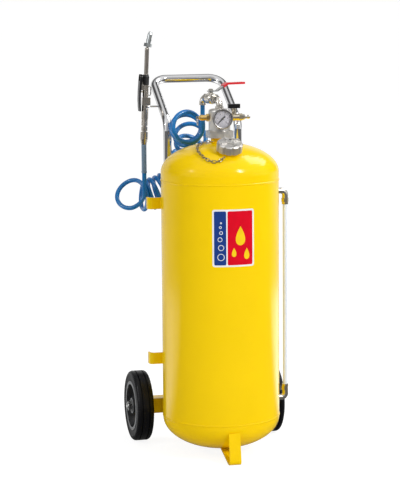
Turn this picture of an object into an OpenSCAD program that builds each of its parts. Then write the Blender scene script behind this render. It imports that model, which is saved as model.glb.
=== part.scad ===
// Wheeled pressure sprayer cart: welded tank on two wheels with a tube handle,
// a valve group on the dome, a spiral hose and a spray gun hung on the handle.
// Millimetres, +Z up, the front of the cart faces -Y.

/* [Tank] */
// Outside diameter of the tank
tank_d = 305; // [298:1:308]
// Wall of the shell and of both heads
tank_wall = 3; // [2:0.5:5]
// Height of the lower weld seam above the floor
seam_low_z = 104; // [102:1:108]
// Height of the upper weld seam above the floor
seam_top_z = 717; // [710:1:725]
// Straight flange of the upper head
top_flange = 23; // [20:1:28]
// Rise of the upper head above its flange
top_rise = 76; // [70:1:82]
// Depth of the lower head below its seam
low_depth = 89; // [82:1:92]
// Height of a weld bead over the wall
bead_h = 1.2; // [0.6:0.2:2]

/* [Foot and hooks] */
// Width of the bent strips
strip_w = 30; // [24:1:36]
// Thickness of the bent strips
strip_t = 5; // [4:0.5:6]
// Distance of the foot's front face from the tank axis
foot_reach = 163; // [158:1:168]
// Height of the middle of the upper hose hook
hook_top_z = 657; // [630:1:680]
// Height of the middle of the lower hose hook
hook_low_z = 248; // [240:1:300]
// Reach of a hose hook beyond the tank wall
hook_reach = 27; // [24:1:32]

/* [Wheels] */
// Diameter of a wheel
wheel_d = 188; // [182:1:194]
// Width of a tyre
tyre_w = 46; // [40:1:50]
// Distance of a wheel's middle from the cart's middle plane
wheel_x = 181; // [179:1:188]
// Distance of the axle behind the tank axis
axle_y = 184; // [182:1:188]
// Diameter of the axle rod
axle_d = 16; // [14:1:18]
// Side of the square axle beam
beam_side = 40; // [36:1:42]

/* [Handle] */
// Diameter of the handle tube
handle_d = 22; // [20:1:24]
// Wall of the handle tube
handle_wall = 2; // [1:0.5:3]
// Distance between the two handle legs
handle_gap = 193; // [188:1:196]
// Distance of the legs behind the tank axis
leg_y = 176; // [175:1:178]
// Height at which the legs start to lean back
lean_z = 855; // [845:1:865]
// Lean of the upper part from the vertical
lean_angle = 59; // [55:1:62]
// Length of the leaning part between the corners of its centre line
lean_run = 205; // [195:1:212]
// Bend radius on the tube's centre line
handle_r = 38; // [34:1:42]

/* [Valve group] */
// Diameter of the outlet neck
neck_d = 45; // [42:1:47]
// Height of the neck's top face
neck_top_z = 836; // [832:1:842]
// Diameter of the valve block
block_d = 56; // [52:1:58]
// Height of the valve block above its nut
block_h = 55; // [52:1:58]
// Diameter of the pressure gauge
gauge_d = 51; // [46:1:54]
// Turn of the gauge and side fittings on the block
group_turn = 5; // [0:1:15]
// Turn of the outlet valve away from straight back
outlet_turn = 15.5; // [12:0.5:17]
// Distance between the outlet elbow and the hose elbow
outlet_run = 87; // [84:1:90]
// Length of the outlet lever from its stem
lever_len = 97; // [85:1:105]

/* [Filler] */
// Distance of the filler in front of the tank axis
filler_y = 95; // [93:1:97]
// Forward tilt of the filler
filler_tilt = 20; // [18:1:22]
// Diameter of the filler cap
cap_d = 66; // [64:1:68]
// Wire of the chain
chain_wire = 1.8; // [1.6:0.1:2]
// Inner length of a chain link
chain_link = 10; // [9.6:0.2:10.4]

/* [Level gauge] */
// Diameter of the level tube
level_d = 12; // [10:1:13]
// Height of the upper level fitting
level_top_z = 684; // [675:1:690]
// Height of the lower level fitting
level_low_z = 135; // [130:1:145]
// Distance of the level tube from the tank wall
level_gap = 23; // [22:1:27]

/* [Spray gun and hose] */
// Diameter of the spiral hose
hose_d = 12; // [10:0.5:12]
// Radius of a curl on the hose's centre line
curl_r = 39.5; // [38:0.5:39.5]
// Lean of the hanging gun towards the cart
gun_lean = 2.6; // [1:0.2:4]
// Bend of the lance's tip
tip_bend = 10; // [6:1:14]
// Diameter of the lance
lance_d = 11.5; // [10:0.5:12]

/* [Hidden] */

$fn = 64;
seat = 0.3;
run_gap = 0.05;
cut = 1;
tank_r = tank_d / 2;
handle_back_y = leg_y + lean_run * sin(lean_angle);
mid_y = (handle_back_y + handle_d / 2 - foot_reach) / 2;
wheel_r = wheel_d / 2;
handle_x = handle_gap / 2;
dome_z = seam_top_z + top_flange;

// Height of the dome's outside at a distance from the tank axis
function dome_at(r) = dome_z + top_rise * sqrt(1 - pow(r / tank_r, 2));

// Everything is drawn round the tank axis and then moved so that the cart's box is centred
module placed() {
    translate([0, -mid_y, 0]) children();
}

module both_sides() {
    children();
    mirror([1, 0, 0]) children();
}

module ring(outer_d, inner_d, h) {
    difference() {
        cylinder(d = outer_d, h = h);
        translate([0, 0, -cut]) cylinder(d = inner_d, h = h + 2 * cut);
    }
}

module hexagon(flats, h) {
    cylinder(d = flats / cos(30), h = h, $fn = 6);
}

module along_x() {
    rotate([0, 90, 0]) children();
}

// A bar bent step by step: [straight length, bend angle, bend radius, roll before the bend].
// It starts along +Z and bends towards +X, with the 2-D child as its section. The straights run a
// little way into the bends, which are a touch thicker, so that the pieces join into one.
bend_lap = 0.3;
bend_grow = 1.01;

module bent(steps, i = 0) {
    if (i < len(steps)) {
        run = steps[i][0];
        turn = steps[i][1];
        radius = steps[i][2];
        roll = steps[i][3];
        before = i > 0 ? bend_lap : 0;
        after = turn > 0 ? bend_lap : 0;
        translate([0, 0, -before]) linear_extrude(run + before + after) children();
        translate([0, 0, run]) rotate([0, 0, roll]) {
            if (turn > 0)
                translate([radius, 0, 0]) mirror([1, 0, 0]) rotate([90, 0, 0])
                    rotate_extrude(angle = turn) translate([radius, 0]) scale(bend_grow) children();
            translate([radius * (1 - cos(turn)), 0, radius * sin(turn)]) rotate([0, turn, 0])
                bent(steps, i + 1) children();
        }
    }
}

// Tank

head_steps = 20;

function quarter(r, rise, z) =
    [for (i = [0 : head_steps]) [r * cos(90 * i / head_steps), z + rise * sin(90 * i / head_steps)]];

function backwards(list) = [for (i = [len(list) - 1 : -1 : 0]) list[i]];

// Half section of a head with its flange and the weld bead that overlaps the shell's edge
module head_section(flange, rise) {
    bead_w = 5;
    outer = quarter(tank_r, rise, flange);
    inner = quarter(tank_r - tank_wall, rise - tank_wall, flange);
    bead = [[tank_r, 0], [tank_r + bead_h, bead_w / 4], [tank_r + bead_h, bead_w * 3 / 4], [tank_r, bead_w]];
    polygon(concat([[tank_r - tank_wall, 0]], bead, outer, backwards(inner)));
}

module on_filler() {
    translate([0, -filler_y, dome_at(filler_y)]) rotate([filler_tilt, 0, 0]) children();
}

filler_neck_d = 50;
filler_neck_wall = 4;
filler_neck_h = 18.5;
filler_neck_depth = 24;
level_stub_d = 16;
level_x = tank_r + level_gap;

low_flange = 6;

module tank_shell() {
    color("gold") placed() difference() {
        translate([0, 0, seam_low_z]) ring(tank_d, tank_d - 2 * tank_wall, seam_top_z - seam_low_z, $fn = 96);
        for (z = [level_low_z, level_top_z])
            translate([0, 0, z]) along_x() cylinder(d = level_stub_d + 2 * run_gap, h = tank_d);
    }
}

module top_head() {
    color("gold") placed() difference() {
        translate([0, 0, seam_top_z]) rotate_extrude($fn = 96) head_section(top_flange, top_rise);
        translate([0, 0, dome_z]) cylinder(d = neck_d + 2 * run_gap, h = tank_r);
        on_filler() translate([0, 0, -filler_neck_depth - tank_wall])
            cylinder(d = filler_neck_d + 2 * run_gap, h = tank_r);
    }
}

module bottom_head() {
    color("gold") placed() translate([0, 0, seam_low_z]) mirror([0, 0, 1])
        rotate_extrude($fn = 96) head_section(low_flange, low_depth - low_flange);
}

neck_bore = 33;
neck_low_z = dome_at(neck_d / 2) - 2 * tank_wall - 4;
chain_eye_r = 4;
chain_eye_turn = 221;
chain_lift = 5.5;
chain_eye_at = neck_d / 2 + chain_eye_r + 0.2;
chain_eye_z = dome_at(chain_eye_at + chain_eye_r) + chain_lift;

module outlet_neck() {
    color("gold") placed() {
        translate([0, 0, neck_low_z]) ring(neck_d, neck_bore, neck_top_z - neck_low_z);
        rotate([0, 0, chain_eye_turn]) translate([chain_eye_at, 0, chain_eye_z]) rotate([90, 0, 0])
            rotate_extrude() translate([chain_eye_r, 0]) circle(d = chain_wire, $fn = 24);
    }
}

module filler_neck() {
    color("gold") placed() on_filler() translate([0, 0, -filler_neck_depth])
        ring(filler_neck_d, filler_neck_d - 2 * filler_neck_wall, filler_neck_depth + filler_neck_h);
}

dip_d = 18;
dip_wall = 1.5;
dip_low_z = seam_low_z - low_depth + 38;
strainer_d = 30;
strainer_h = 34;
strainer_wall = 2;
block_low_z = neck_top_z + 2;
dip_socket = 12;

module dip_tube() {
    color("silver") placed() translate([0, 0, dip_low_z])
        ring(dip_d, dip_d - 2 * dip_wall, block_low_z + dip_socket - dip_low_z);
}

// Slotted cup pushed over the foot of the dip tube
module dip_strainer() {
    slots = 8;
    slot_w = 4;
    slot_h = 16;
    low = dip_low_z - 16;
    color("dimgray") placed() translate([0, 0, low]) difference() {
        cylinder(d = strainer_d, h = strainer_h);
        translate([0, 0, strainer_wall]) cylinder(d = strainer_d - 2 * strainer_wall, h = strainer_h - 8);
        translate([0, 0, strainer_wall]) cylinder(d = dip_d + 2 * run_gap, h = strainer_h);
        for (i = [0 : slots - 1])
            rotate([0, 0, 360 / slots * i]) translate([0, -slot_w / 2, strainer_wall + 2])
                cube([strainer_d, slot_w, slot_h]);
    }
}

// Foot and hose hooks

strip_r = 9;

module strip() {
    square([strip_t, strip_w], center = true);
}

// Front leg down to the floor, a short flat and a rear leg back up to the tank's underside
foot_flat = 6;
foot_lean = 9;
foot_rise = 17;
foot_leg = 70;
foot_rear = 110;
foot_x = -5;
foot_turn_y = -foot_reach + strip_r + strip_t / 2;

module front_foot() {
    top_y = foot_turn_y - strip_r * cos(foot_lean) + foot_leg * sin(foot_lean);
    top_z = strip_t / 2 + strip_r * (1 + sin(foot_lean)) + foot_leg * cos(foot_lean);
    color("gold") placed() difference() {
        translate([foot_x, top_y, top_z]) rotate([180 - foot_lean, 0, 0]) rotate([0, 0, -90])
            bent([[foot_leg, 90 + foot_lean, strip_r, 0], [foot_flat, foot_rise, strip_r, 0],
                [foot_rear, 0, 0, 0]]) strip();
        translate([0, 0, seam_low_z]) mirror([0, 0, 1]) rotate_extrude($fn = 96)
            polygon(concat([[0, -tank_d], [tank_r, -tank_d]], quarter(tank_r, low_depth - low_flange, low_flange)));
        translate([0, 0, seam_low_z - low_flange]) cylinder(r = tank_r + bead_h + seat, h = tank_d);
    }
}

hook_y = 50;
hook_bend = 10;
hook_tail = 10;

// Strip from the tank's left side with its end bent back
module hose_hook(z) {
    start = sqrt(pow(tank_r, 2) - pow(hook_y, 2)) - 8;
    out = tank_r + hook_reach - hook_bend - strip_t / 2 - start;
    difference() {
        translate([-start, hook_y, z]) rotate([0, -90, 0]) rotate([0, 0, 90])
            bent([[out, 90, hook_bend, 0], [hook_tail, 0, 0, 0]]) strip();
        translate([0, 0, seam_low_z]) cylinder(r = tank_r, h = tank_d * 3, $fn = 96);
    }
}

module upper_hose_hook() {
    color("gold") placed() hose_hook(hook_top_z);
}

module lower_hose_hook() {
    color("gold") placed() hose_hook(hook_low_z);
}

// Axle and wheels

axle_z = wheel_r;
hub_w = tyre_w - 6;
washer_t = 2.5;
washer_d = 30;
nut_w = 7;
beam_wall = 3;
beam_half = wheel_x - hub_w / 2 - washer_t - 2 * seat;
hub_out = wheel_x + hub_w / 2;
axle_half = hub_out + washer_t + nut_w - 2;

module at_axle() {
    translate([0, axle_y, axle_z]) along_x() children();
}

// Square tube with end plates that carry the axle rod
module axle_beam() {
    color("gold") placed() translate([0, axle_y, axle_z]) difference() {
        cube([2 * beam_half, beam_side, beam_side], center = true);
        cube([2 * beam_half - 4 * beam_wall, beam_side - 2 * beam_wall, beam_side - 2 * beam_wall], center = true);
        translate([-beam_half - cut, 0, 0]) along_x()
            cylinder(d = axle_d + 2 * run_gap, h = 2 * (beam_half + cut));
    }
}

gusset_t = 5;
gusset_top = 222;

// Plates from the tank wall to the beam, beside the handle legs
module axle_gussets() {
    front = axle_y - beam_side / 2;
    x0 = handle_x + handle_d / 2 + 0.5;
    low = axle_z - beam_side / 2;
    color("gold") placed() both_sides() difference() {
        translate([x0, 0, 0]) rotate([90, 0, 90]) linear_extrude(gusset_t)
            polygon([[0, low + 36], [front - 18, low], [front, low], [front, low + beam_side],
                [front - 14, gusset_top], [0, gusset_top]]);
        translate([0, 0, low - cut]) cylinder(r = tank_r, h = tank_d, $fn = 96);
        translate([0, 0, seam_low_z - low_flange]) cylinder(r = tank_r + bead_h + seat, h = low_flange + seat);
    }
}

module axle() {
    color("silver") placed() translate([-axle_half, 0, 0]) at_axle() cylinder(d = axle_d, h = 2 * axle_half);
}

rim_r = 66;
bush_d = 26;
hub_d = 42;
groove_w = 3;
groove_h = 4;
groove_x = 9;

// Half section of the tyre, distance from the axle along x and the wheel's width along y
module tyre_section() {
    half = tyre_w / 2;
    shoulder = 10;
    difference() {
        union() {
            translate([rim_r + seat, -half + 2]) square([wheel_r - rim_r - shoulder - seat, tyre_w - 4]);
            translate([wheel_r - shoulder - cut, -half + shoulder]) square([shoulder + cut, tyre_w - 2 * shoulder]);
            for (s = [-1, 1])
                translate([wheel_r - shoulder, s * (half - shoulder)]) circle(r = shoulder);
        }
        for (s = [-1, 1])
            translate([wheel_r - groove_h, s * groove_x - groove_w / 2]) square([groove_h + cut, groove_w]);
    }
}

module tyre() {
    at_axle() rotate_extrude($fn = 96) tyre_section();
}

// Moulded rim: a stepped well, a dished web with four round holes and a long hub
module rim() {
    web_t = 10;
    holes = 4;
    hole_d = 34;
    hole_r = 42;
    flange_w = tyre_w - 2;
    lip = 4;
    at_axle() difference() {
        rotate_extrude($fn = 96) {
            translate([rim_r - 8, -flange_w / 2]) square([8, flange_w]);
            translate([bush_d / 2 + run_gap, -web_t / 2]) square([rim_r - bush_d / 2 - lip, web_t]);
            translate([bush_d / 2 + run_gap, -hub_w / 2]) square([(hub_d - bush_d) / 2, hub_w]);
        }
        for (i = [0 : holes - 1])
            rotate([0, 0, 45 + 360 / holes * i]) translate([hole_r, 0, -tyre_w])
                cylinder(d = hole_d, h = 2 * tyre_w);
    }
}

module bush() {
    translate([-hub_w / 2, 0, 0]) at_axle() ring(bush_d, axle_d + 2 * run_gap, hub_w);
}

module on_left() {
    placed() translate([-wheel_x, 0, 0]) children();
}

module on_right() {
    placed() translate([wheel_x, 0, 0]) children();
}

module left_tyre() {
    color("#1c1c1e") on_left() tyre();
}

module left_rim() {
    color("#9a9ca0") on_left() rim();
}

module left_bush() {
    color("#3c3c3c") on_left() bush();
}

module right_tyre() {
    color("#1c1c1e") on_right() tyre();
}

module right_rim() {
    color("#9a9ca0") on_right() rim();
}

module right_bush() {
    color("#3c3c3c") on_right() bush();
}

module axle_washers() {
    inner_x = wheel_x - hub_w / 2 - washer_t - seat;
    color("silver") placed() both_sides() for (x = [inner_x, hub_out + seat])
        translate([x, 0, 0]) at_axle() ring(washer_d, axle_d + 2 * run_gap, washer_t);
}

module axle_nuts() {
    start = hub_out + washer_t + 2 * seat;
    color("silver") placed() both_sides() translate([start, 0, 0]) at_axle() difference() {
        union() {
            hexagon(24, nut_w);
            translate([0, 0, nut_w - 6]) intersection() {
                sphere(d = 22);
                cylinder(d = 24, h = 22);
            }
        }
        translate([0, 0, -cut]) cylinder(d = axle_d + 2 * run_gap, h = axle_half - start + cut + seat);
    }
}

// Handle and what it carries

leg_low_z = axle_z + beam_side / 2;
lean_cut = handle_r * tan(lean_angle / 2);
leg_run = lean_z - lean_cut - leg_low_z;
lean_straight = lean_run - lean_cut - handle_r;
handle_steps = [[leg_run, lean_angle, handle_r, 0], [lean_straight, 90, handle_r, 90],
    [handle_gap - 2 * handle_r, 90, handle_r, 0], [lean_straight, lean_angle, handle_r, -90],
    [leg_run, 0, 0, 0]];

// One tube: up the right leg, along the leaning part and the top bar, and down the left leg
module handle() {
    color("silver") placed() translate([handle_x, leg_y, leg_low_z]) rotate([0, 0, 90])
        bent(handle_steps) difference() {
            circle(d = handle_d);
            circle(d = handle_d - 2 * handle_wall);
        }
}

bracket_t = 6;
bracket_h = 34;
bracket_low_z = 293;

// Webs welded to the tank that hold the handle legs
module handle_brackets() {
    color("gold") placed() both_sides() difference() {
        for (z = [bracket_low_z, hook_top_z])
            translate([handle_x - bracket_t / 2, 0, z - bracket_h / 2]) cube([bracket_t, leg_y, bracket_h]);
        translate([0, 0, seam_low_z]) cylinder(r = tank_r, h = tank_d * 3, $fn = 96);
        translate([handle_x, leg_y, 0]) cylinder(d = handle_d + 2 * run_gap, h = tank_d * 3);
    }
}

// Spray gun, drawn upright with its axis along +Z and its lower end at the origin

gun_base = [-147, 238, 794];
sleeve_len = 77;
sleeve_low = gun_base - [0, 0, sleeve_len];
gun_half_y = 8;
grip_d = 18;
gun_left = -9;
grip_low = 50;
grip_z = 79;
rest_z = 104.5;
head_z = 125;
barrel_top = 158;
collar_top = 188;
lance_top = 253;
pivot_z = 181;
pivot_x = -13;
pin_z = 140;
pivot_d = 4;

module in_gun() {
    translate(gun_base) rotate([0, gun_lean, 0]) children();
}

// Swivel, grip with a shoulder that sits on the holder, valve barrel and the pivot lug
module gun_body() {
    swivel_d = 20;
    ring_d = 17;
    lug_low = 144;
    lug_in = 0.4;
    lug_t = 3.2;
    color("#c8c4bc") placed() in_gun() difference() {
        union() {
            cylinder(d1 = 15, d2 = swivel_d, h = 14);
            translate([0, 0, 14]) cylinder(d = swivel_d, h = 19);
            translate([0, 0, 33]) cylinder(d = 12, h = grip_low - 33);
            translate([0, 0, 36]) cylinder(d = ring_d, h = 11);
            translate([0, 0, grip_low]) cylinder(d1 = ring_d, d2 = 2 * gun_half_y, h = grip_z - grip_low);
            translate([0, 0, grip_z - 12]) cylinder(d = grip_d, h = rest_z - grip_z + 13);
            intersection() {
                translate([gun_left, -gun_half_y, rest_z]) cube([-gun_left + 13, 2 * gun_half_y, head_z - rest_z]);
                translate([2, 0, 0]) cylinder(d = 25.6, h = head_z);
            }
            translate([0, 0, head_z - cut]) cylinder(d = 13.2, h = barrel_top - head_z + cut);
            translate([0, 0, head_z + 2]) cylinder(d = 16, h = 30);
            translate([pivot_x + lug_in, -gun_half_y + 2, lug_low])
                cube([-pivot_x - lug_in - 6, 2 * gun_half_y - 4, 12]);
            translate([pivot_x + lug_in, -gun_half_y + 2, lug_low])
                cube([lug_t, 2 * gun_half_y - 4, pivot_z - lug_low]);
            translate([pivot_x, 0, pivot_z]) rotate([90, 0, 0])
                cylinder(d = 6, h = 2 * gun_half_y - 4, center = true);
        }
        translate([0, 0, -cut]) cylinder(d = 6, h = barrel_top + 2 * cut);
        translate([pivot_x, 0, pivot_z]) rotate([90, 0, 0])
            cylinder(d = pivot_d + 2 * run_gap, h = 4 * gun_half_y, center = true);
        translate([-tank_r, 0, pin_z]) along_x() cylinder(d = pivot_d + 2 * run_gap, h = tank_r);
    }
}

// Wire guard on the side away from the lever
module gun_guard() {
    wire = 3.4;
    stand = 5;
    run = 16;
    color("#c8c4bc") placed() in_gun() translate([8 + run_gap, 0, head_z + 6]) rotate([0, 90, 0]) rotate([0, 0, 180])
        bent([[stand - 3, 90, 4, 0], [run, 90, 4, 0], [stand - 3, 0, 0, 0]]) circle(d = wire, $fn = 24);
}

trigger_out = -19.5;
trigger_t = 2.4;

// Side view of the lever: its outer edge from the top down and its inner edge back up
trigger_outer = [[trigger_out + 2.3, 186], [trigger_out + 0.7, 165], [trigger_out, pin_z],
    [trigger_out + 0.2, 118], [trigger_out + 1.5, 100], [trigger_out + 3.1, 88]];
trigger_inner = [[-12.6, 88], [-13.4, 100], [-14.3, 118], [-14.5, pin_z], [-13.5, 158], [-9.4, 172], [-9.4, 186]];

module trigger_side(points, width) {
    rotate([90, 0, 0]) linear_extrude(width, center = true) polygon(points);
}

// Bowed channel-shaped lever that straddles the body and turns on the pin
module gun_trigger() {
    inside = gun_half_y + 0.7;
    outside = inside + 1.8;
    hollow = [for (p = trigger_outer) p + [trigger_t, 0]];
    color("#1b1b1d") placed() in_gun() difference() {
        trigger_side(concat(trigger_outer, trigger_inner), 2 * outside);
        trigger_side(concat([[0, 190]], [hollow[0] + [0, 4]], hollow, [hollow[5] - [0, 4], [0, 84]]), 2 * inside);
        translate([2 * trigger_out, -inside, pivot_z - 12]) cube([-2 * trigger_out, 2 * inside, 40]);
        translate([pivot_x, 0, pivot_z]) rotate([90, 0, 0])
            cylinder(d = pivot_d + 2 * run_gap, h = 4 * outside, center = true);
    }
}

module trigger_pin() {
    color("silver") placed() in_gun() translate([pivot_x, 0, pivot_z]) rotate([90, 0, 0])
        cylinder(d = pivot_d, h = 2 * gun_half_y + 7, center = true);
}

// Pin that the lever pushes into the valve barrel
module valve_pin() {
    start = trigger_out + trigger_t + seat;
    color("silver") placed() in_gun() translate([start, 0, pin_z]) along_x()
        cylinder(d = pivot_d, h = -start - 4.5);
}

module on_tip() {
    translate([0, 0, lance_top]) rotate([0, tip_bend, 0]) children();
}

tip_d = 7;
union_d = 17;
tip_len = 30;

// Black union nut, lance tube and its bent tip
module gun_lance() {
    color("#6b675f") placed() in_gun() difference() {
        union() {
            translate([0, 0, barrel_top + seat]) cylinder(d = union_d, h = collar_top - barrel_top - 8);
            translate([0, 0, collar_top - 8]) cylinder(d1 = union_d, d2 = lance_d, h = 8);
            translate([0, 0, collar_top - cut]) cylinder(d = lance_d, h = lance_top - collar_top + cut);
            translate([0, 0, lance_top]) sphere(d = lance_d);
            on_tip() cylinder(d = tip_d, h = tip_len);
        }
        translate([0, 0, barrel_top - cut]) cylinder(d = 4, h = lance_top - barrel_top + cut);
        on_tip() cylinder(d = 3, h = tip_len + cut);
    }
}

// Nozzle with a hexagon that turns on the lance's tip
module gun_nozzle() {
    start = lance_d / 2 + 1;
    hex_w = 19;
    hex_h = 9;
    body_h = 24;
    color("#a9a59c") placed() in_gun() on_tip() translate([0, 0, start]) difference() {
        union() {
            hexagon(hex_w, hex_h);
            translate([0, 0, hex_h]) cylinder(d = 13, h = body_h);
            translate([0, 0, hex_h + body_h]) cylinder(d1 = 13, d2 = 8, h = 8);
            translate([0, 0, hex_h + 6]) cylinder(d = 14.4, h = 5);
        }
        translate([0, 0, -cut]) cylinder(d = tip_d + 2 * run_gap, h = tip_len - start + cut + seat);
        cylinder(d = 3, h = tank_r);
    }
}

module hose_sleeve() {
    color("#6e8296") placed() translate(sleeve_low) {
        ring(13.5, hose_d - 2, sleeve_len - 0.7);
        ring(15, hose_d - 2, 4);
    }
}

holder_d = 6;
holder_arc = 80;

// Rod welded to the left handle leg with a cradle under the gun's shoulder
module gun_holder() {
    cradle_r = grip_d / 2 + 2 * seat + holder_d / 2;
    rod_z = gun_base[2] + rest_z - holder_d / 2 - 3 * seat;
    gun_x = gun_base[0] + tan(gun_lean) * rest_z;
    rod = -handle_x - handle_d / 2 - gun_x - cradle_r;
    color("silver") placed() translate([gun_x, gun_base[1], rod_z]) {
        rotate([0, 0, -holder_arc]) rotate_extrude(angle = 2 * holder_arc)
            translate([cradle_r, 0]) circle(d = holder_d, $fn = 32);
        translate([cradle_r + holder_d / 4, 0, 0]) along_x() cylinder(d = holder_d - 1, h = rod - holder_d / 4);
    }
}

// Valve group on the outlet neck

nut_low_z = neck_top_z - 8;
nut_h = 18;
nut_flats = 63;
nut_turn = 35;
flange_d = 44;
flange_h = 4;
spigot_d = 40;
block_z = nut_low_z + nut_h + seat;
block_top_z = block_z + block_h;
port_z = block_z + 33;
port_d = 14;
port_depth = 10;

module neck_gasket() {
    color("#303030") placed() translate([0, 0, neck_top_z]) ring(flange_d, neck_bore, block_low_z - neck_top_z);
}

module collar_nut() {
    lip_z = block_low_z + flange_h + 0.2;
    color("#b9b9b6") placed() difference() {
        translate([0, 0, nut_low_z]) rotate([0, 0, nut_turn]) hexagon(nut_flats, nut_h);
        translate([0, 0, nut_low_z - cut]) cylinder(d = neck_d + 2 * seat, h = lip_z - nut_low_z + cut);
        translate([0, 0, nut_low_z]) cylinder(d = spigot_d + 2 * seat, h = nut_h + cut);
        translate([0, 0, nut_low_z + nut_h / 2]) rotate_extrude()
            polygon([[nut_flats / 2, nut_h], [nut_flats / 2 + 1.2, nut_h / 2], [nut_flats, nut_h / 2 - 9],
                [nut_flats, nut_h]]);
    }
}

// Round aluminium block with a rounded top, a side port each way and sockets above and below
module valve_block() {
    top_r = 7;
    color("#bdbdb9") placed() difference() {
        rotate_extrude() difference() {
            union() {
                translate([0, block_low_z]) square([flange_d / 2, flange_h]);
                translate([0, block_low_z]) square([spigot_d / 2, block_z - block_low_z + cut]);
                translate([0, block_z]) square([block_d / 2, block_h - top_r]);
                translate([0, block_z]) square([block_d / 2 - top_r, block_h]);
                translate([block_d / 2 - top_r, block_top_z - top_r]) circle(r = top_r);
            }
            translate([-block_d, block_low_z]) square([block_d, 2 * block_h]);
        }
        translate([0, 0, block_low_z - cut]) cylinder(d = dip_d + 2 * run_gap, h = dip_socket + cut + seat);
        translate([0, 0, block_low_z]) cylinder(d = 10, h = 2 * block_h);
        translate([0, 0, block_top_z - port_depth]) cylinder(d = port_d + 2 * run_gap, h = 2 * port_depth);
        for (turn = [0, 180, 270])
            translate([0, 0, port_z]) rotate([0, 0, turn - group_turn]) along_x() {
                cylinder(d = 8, h = block_d);
                translate([0, 0, block_d / 2 - port_depth]) cylinder(d = port_d + 2 * run_gap, h = block_d);
            }
    }
}

// Pressure gauge, drawn with its face along +Z

gauge_back = 34;
gauge_depth = 22;
case_d = gauge_d - 3;
case_wall = 1.5;
dial_z = 14;
pivot_pin_d = 2;

module in_gauge() {
    rotate([0, 0, -group_turn]) translate([0, -gauge_back, port_z]) rotate([90, 0, 0]) children();
}

module gauge_case() {
    stem = gauge_back - block_d / 2 + port_depth;
    color("#c9c9c9") placed() in_gauge() {
        difference() {
            cylinder(d = case_d, h = gauge_depth - 4);
            translate([0, 0, 8]) cylinder(d = case_d - 2 * case_wall, h = gauge_depth);
        }
        translate([0, 0, -stem + seat]) cylinder(d = port_d, h = stem);
        translate([0, 0, -5]) cylinder(d = 17, h = 5);
        translate([0, 0, 8]) cylinder(d = pivot_pin_d, h = dial_z + 3.4 - 8);
    }
}

module gauge_dial() {
    color("white") placed() in_gauge() translate([0, 0, 8])
        ring(case_d - 2 * case_wall - 2 * run_gap, pivot_pin_d + 4 * run_gap, dial_z - 8);
}

// Pointer with a hub and a tail, resting at the low end of the scale
module gauge_needle() {
    reach = gauge_d * 0.34;
    tail = 6;
    rest = 225;
    color("black") placed() in_gauge() translate([0, 0, dial_z + 1]) rotate([0, 0, rest]) difference() {
        union() {
            cylinder(d = 5, h = 1.8);
            linear_extrude(0.8) polygon([[-tail, -1.4], [reach * 0.4, -1.1], [reach, -0.35], [reach, 0.35],
                [reach * 0.4, 1.1], [-tail, 1.4]]);
        }
        translate([0, 0, -cut]) cylinder(d = pivot_pin_d + 2 * run_gap, h = 4);
    }
}

lens_z = gauge_depth - 4;

module gauge_lens() {
    color("#d8ecf5") placed() in_gauge() translate([0, 0, lens_z + 0.1]) cylinder(d = case_d - 1, h = 1.8);
}

module gauge_bezel() {
    color("#d5d5d5") placed() in_gauge() rotate_extrude()
        polygon([[case_d / 2 + run_gap, lens_z - 7], [gauge_d / 2, lens_z - 6], [gauge_d / 2, lens_z + 3],
            [gauge_d / 2 - 1.2, lens_z + 4.2], [case_d / 2 - 2.6, lens_z + 3], [case_d / 2 - 2.6, lens_z + 2],
            [case_d / 2 + run_gap, lens_z + 2]]);
}

// Relief valve on the left, drawn along +Z from the block's wall

relief_len = 22;
relief_stem_d = 4;
relief_hole = 1.5;

module in_relief() {
    rotate([0, 0, -group_turn]) translate([-block_d / 2, 0, port_z]) rotate([0, -90, 0]) children();
}

module relief_body() {
    color("#c89a3c") placed() in_relief() difference() {
        union() {
            translate([0, 0, -port_depth + seat]) cylinder(d = port_d, h = port_depth);
            hexagon(17, 6);
            translate([0, 0, 5]) cylinder(d = 15, h = relief_len - 5);
        }
        translate([0, 0, -port_depth]) cylinder(d = relief_stem_d + 2 * run_gap, h = relief_len + 2 * port_depth);
        translate([0, 0, 4]) cylinder(d = 9, h = relief_len - 8);
    }
}

ring_wire = 2;
ring_r = 9;
eye_z = relief_len + 7.5;

// Stem with a spring collar inside the barrel and an eye for the pull ring
module relief_stem() {
    color("#c89a3c") placed() in_relief() difference() {
        union() {
            translate([0, 0, -4]) cylinder(d = relief_stem_d, h = eye_z + 6.5);
            translate([0, 0, 5]) cylinder(d = 8, h = 3);
            translate([0, 0, relief_len + seat]) cylinder(d = 10, h = 3.4);
            translate([0, 0, eye_z]) rotate([90, 0, 0]) cylinder(d = 7.4, h = 3, center = true);
        }
        translate([0, 0, eye_z]) rotate([90, 0, 0])
            cylinder(d = ring_wire + 2 * relief_hole, h = 20, center = true);
    }
}

module relief_ring() {
    color("#b9b9b6") placed() in_relief() translate([-ring_r - relief_hole + seat, 0, eye_z])
        rotate_extrude() translate([ring_r, 0]) circle(d = ring_wire, $fn = 24);
}

// Air tap on the right, drawn along +Z from the block's wall

tap_len = 32;
tap_ball_d = 11;
tap_ball_z = 10;
tap_stem_d = 6;
tap_lever_h = 25;

module in_tap() {
    rotate([0, 0, -group_turn]) translate([block_d / 2, 0, port_z]) rotate([0, 90, 0]) children();
}

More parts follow.
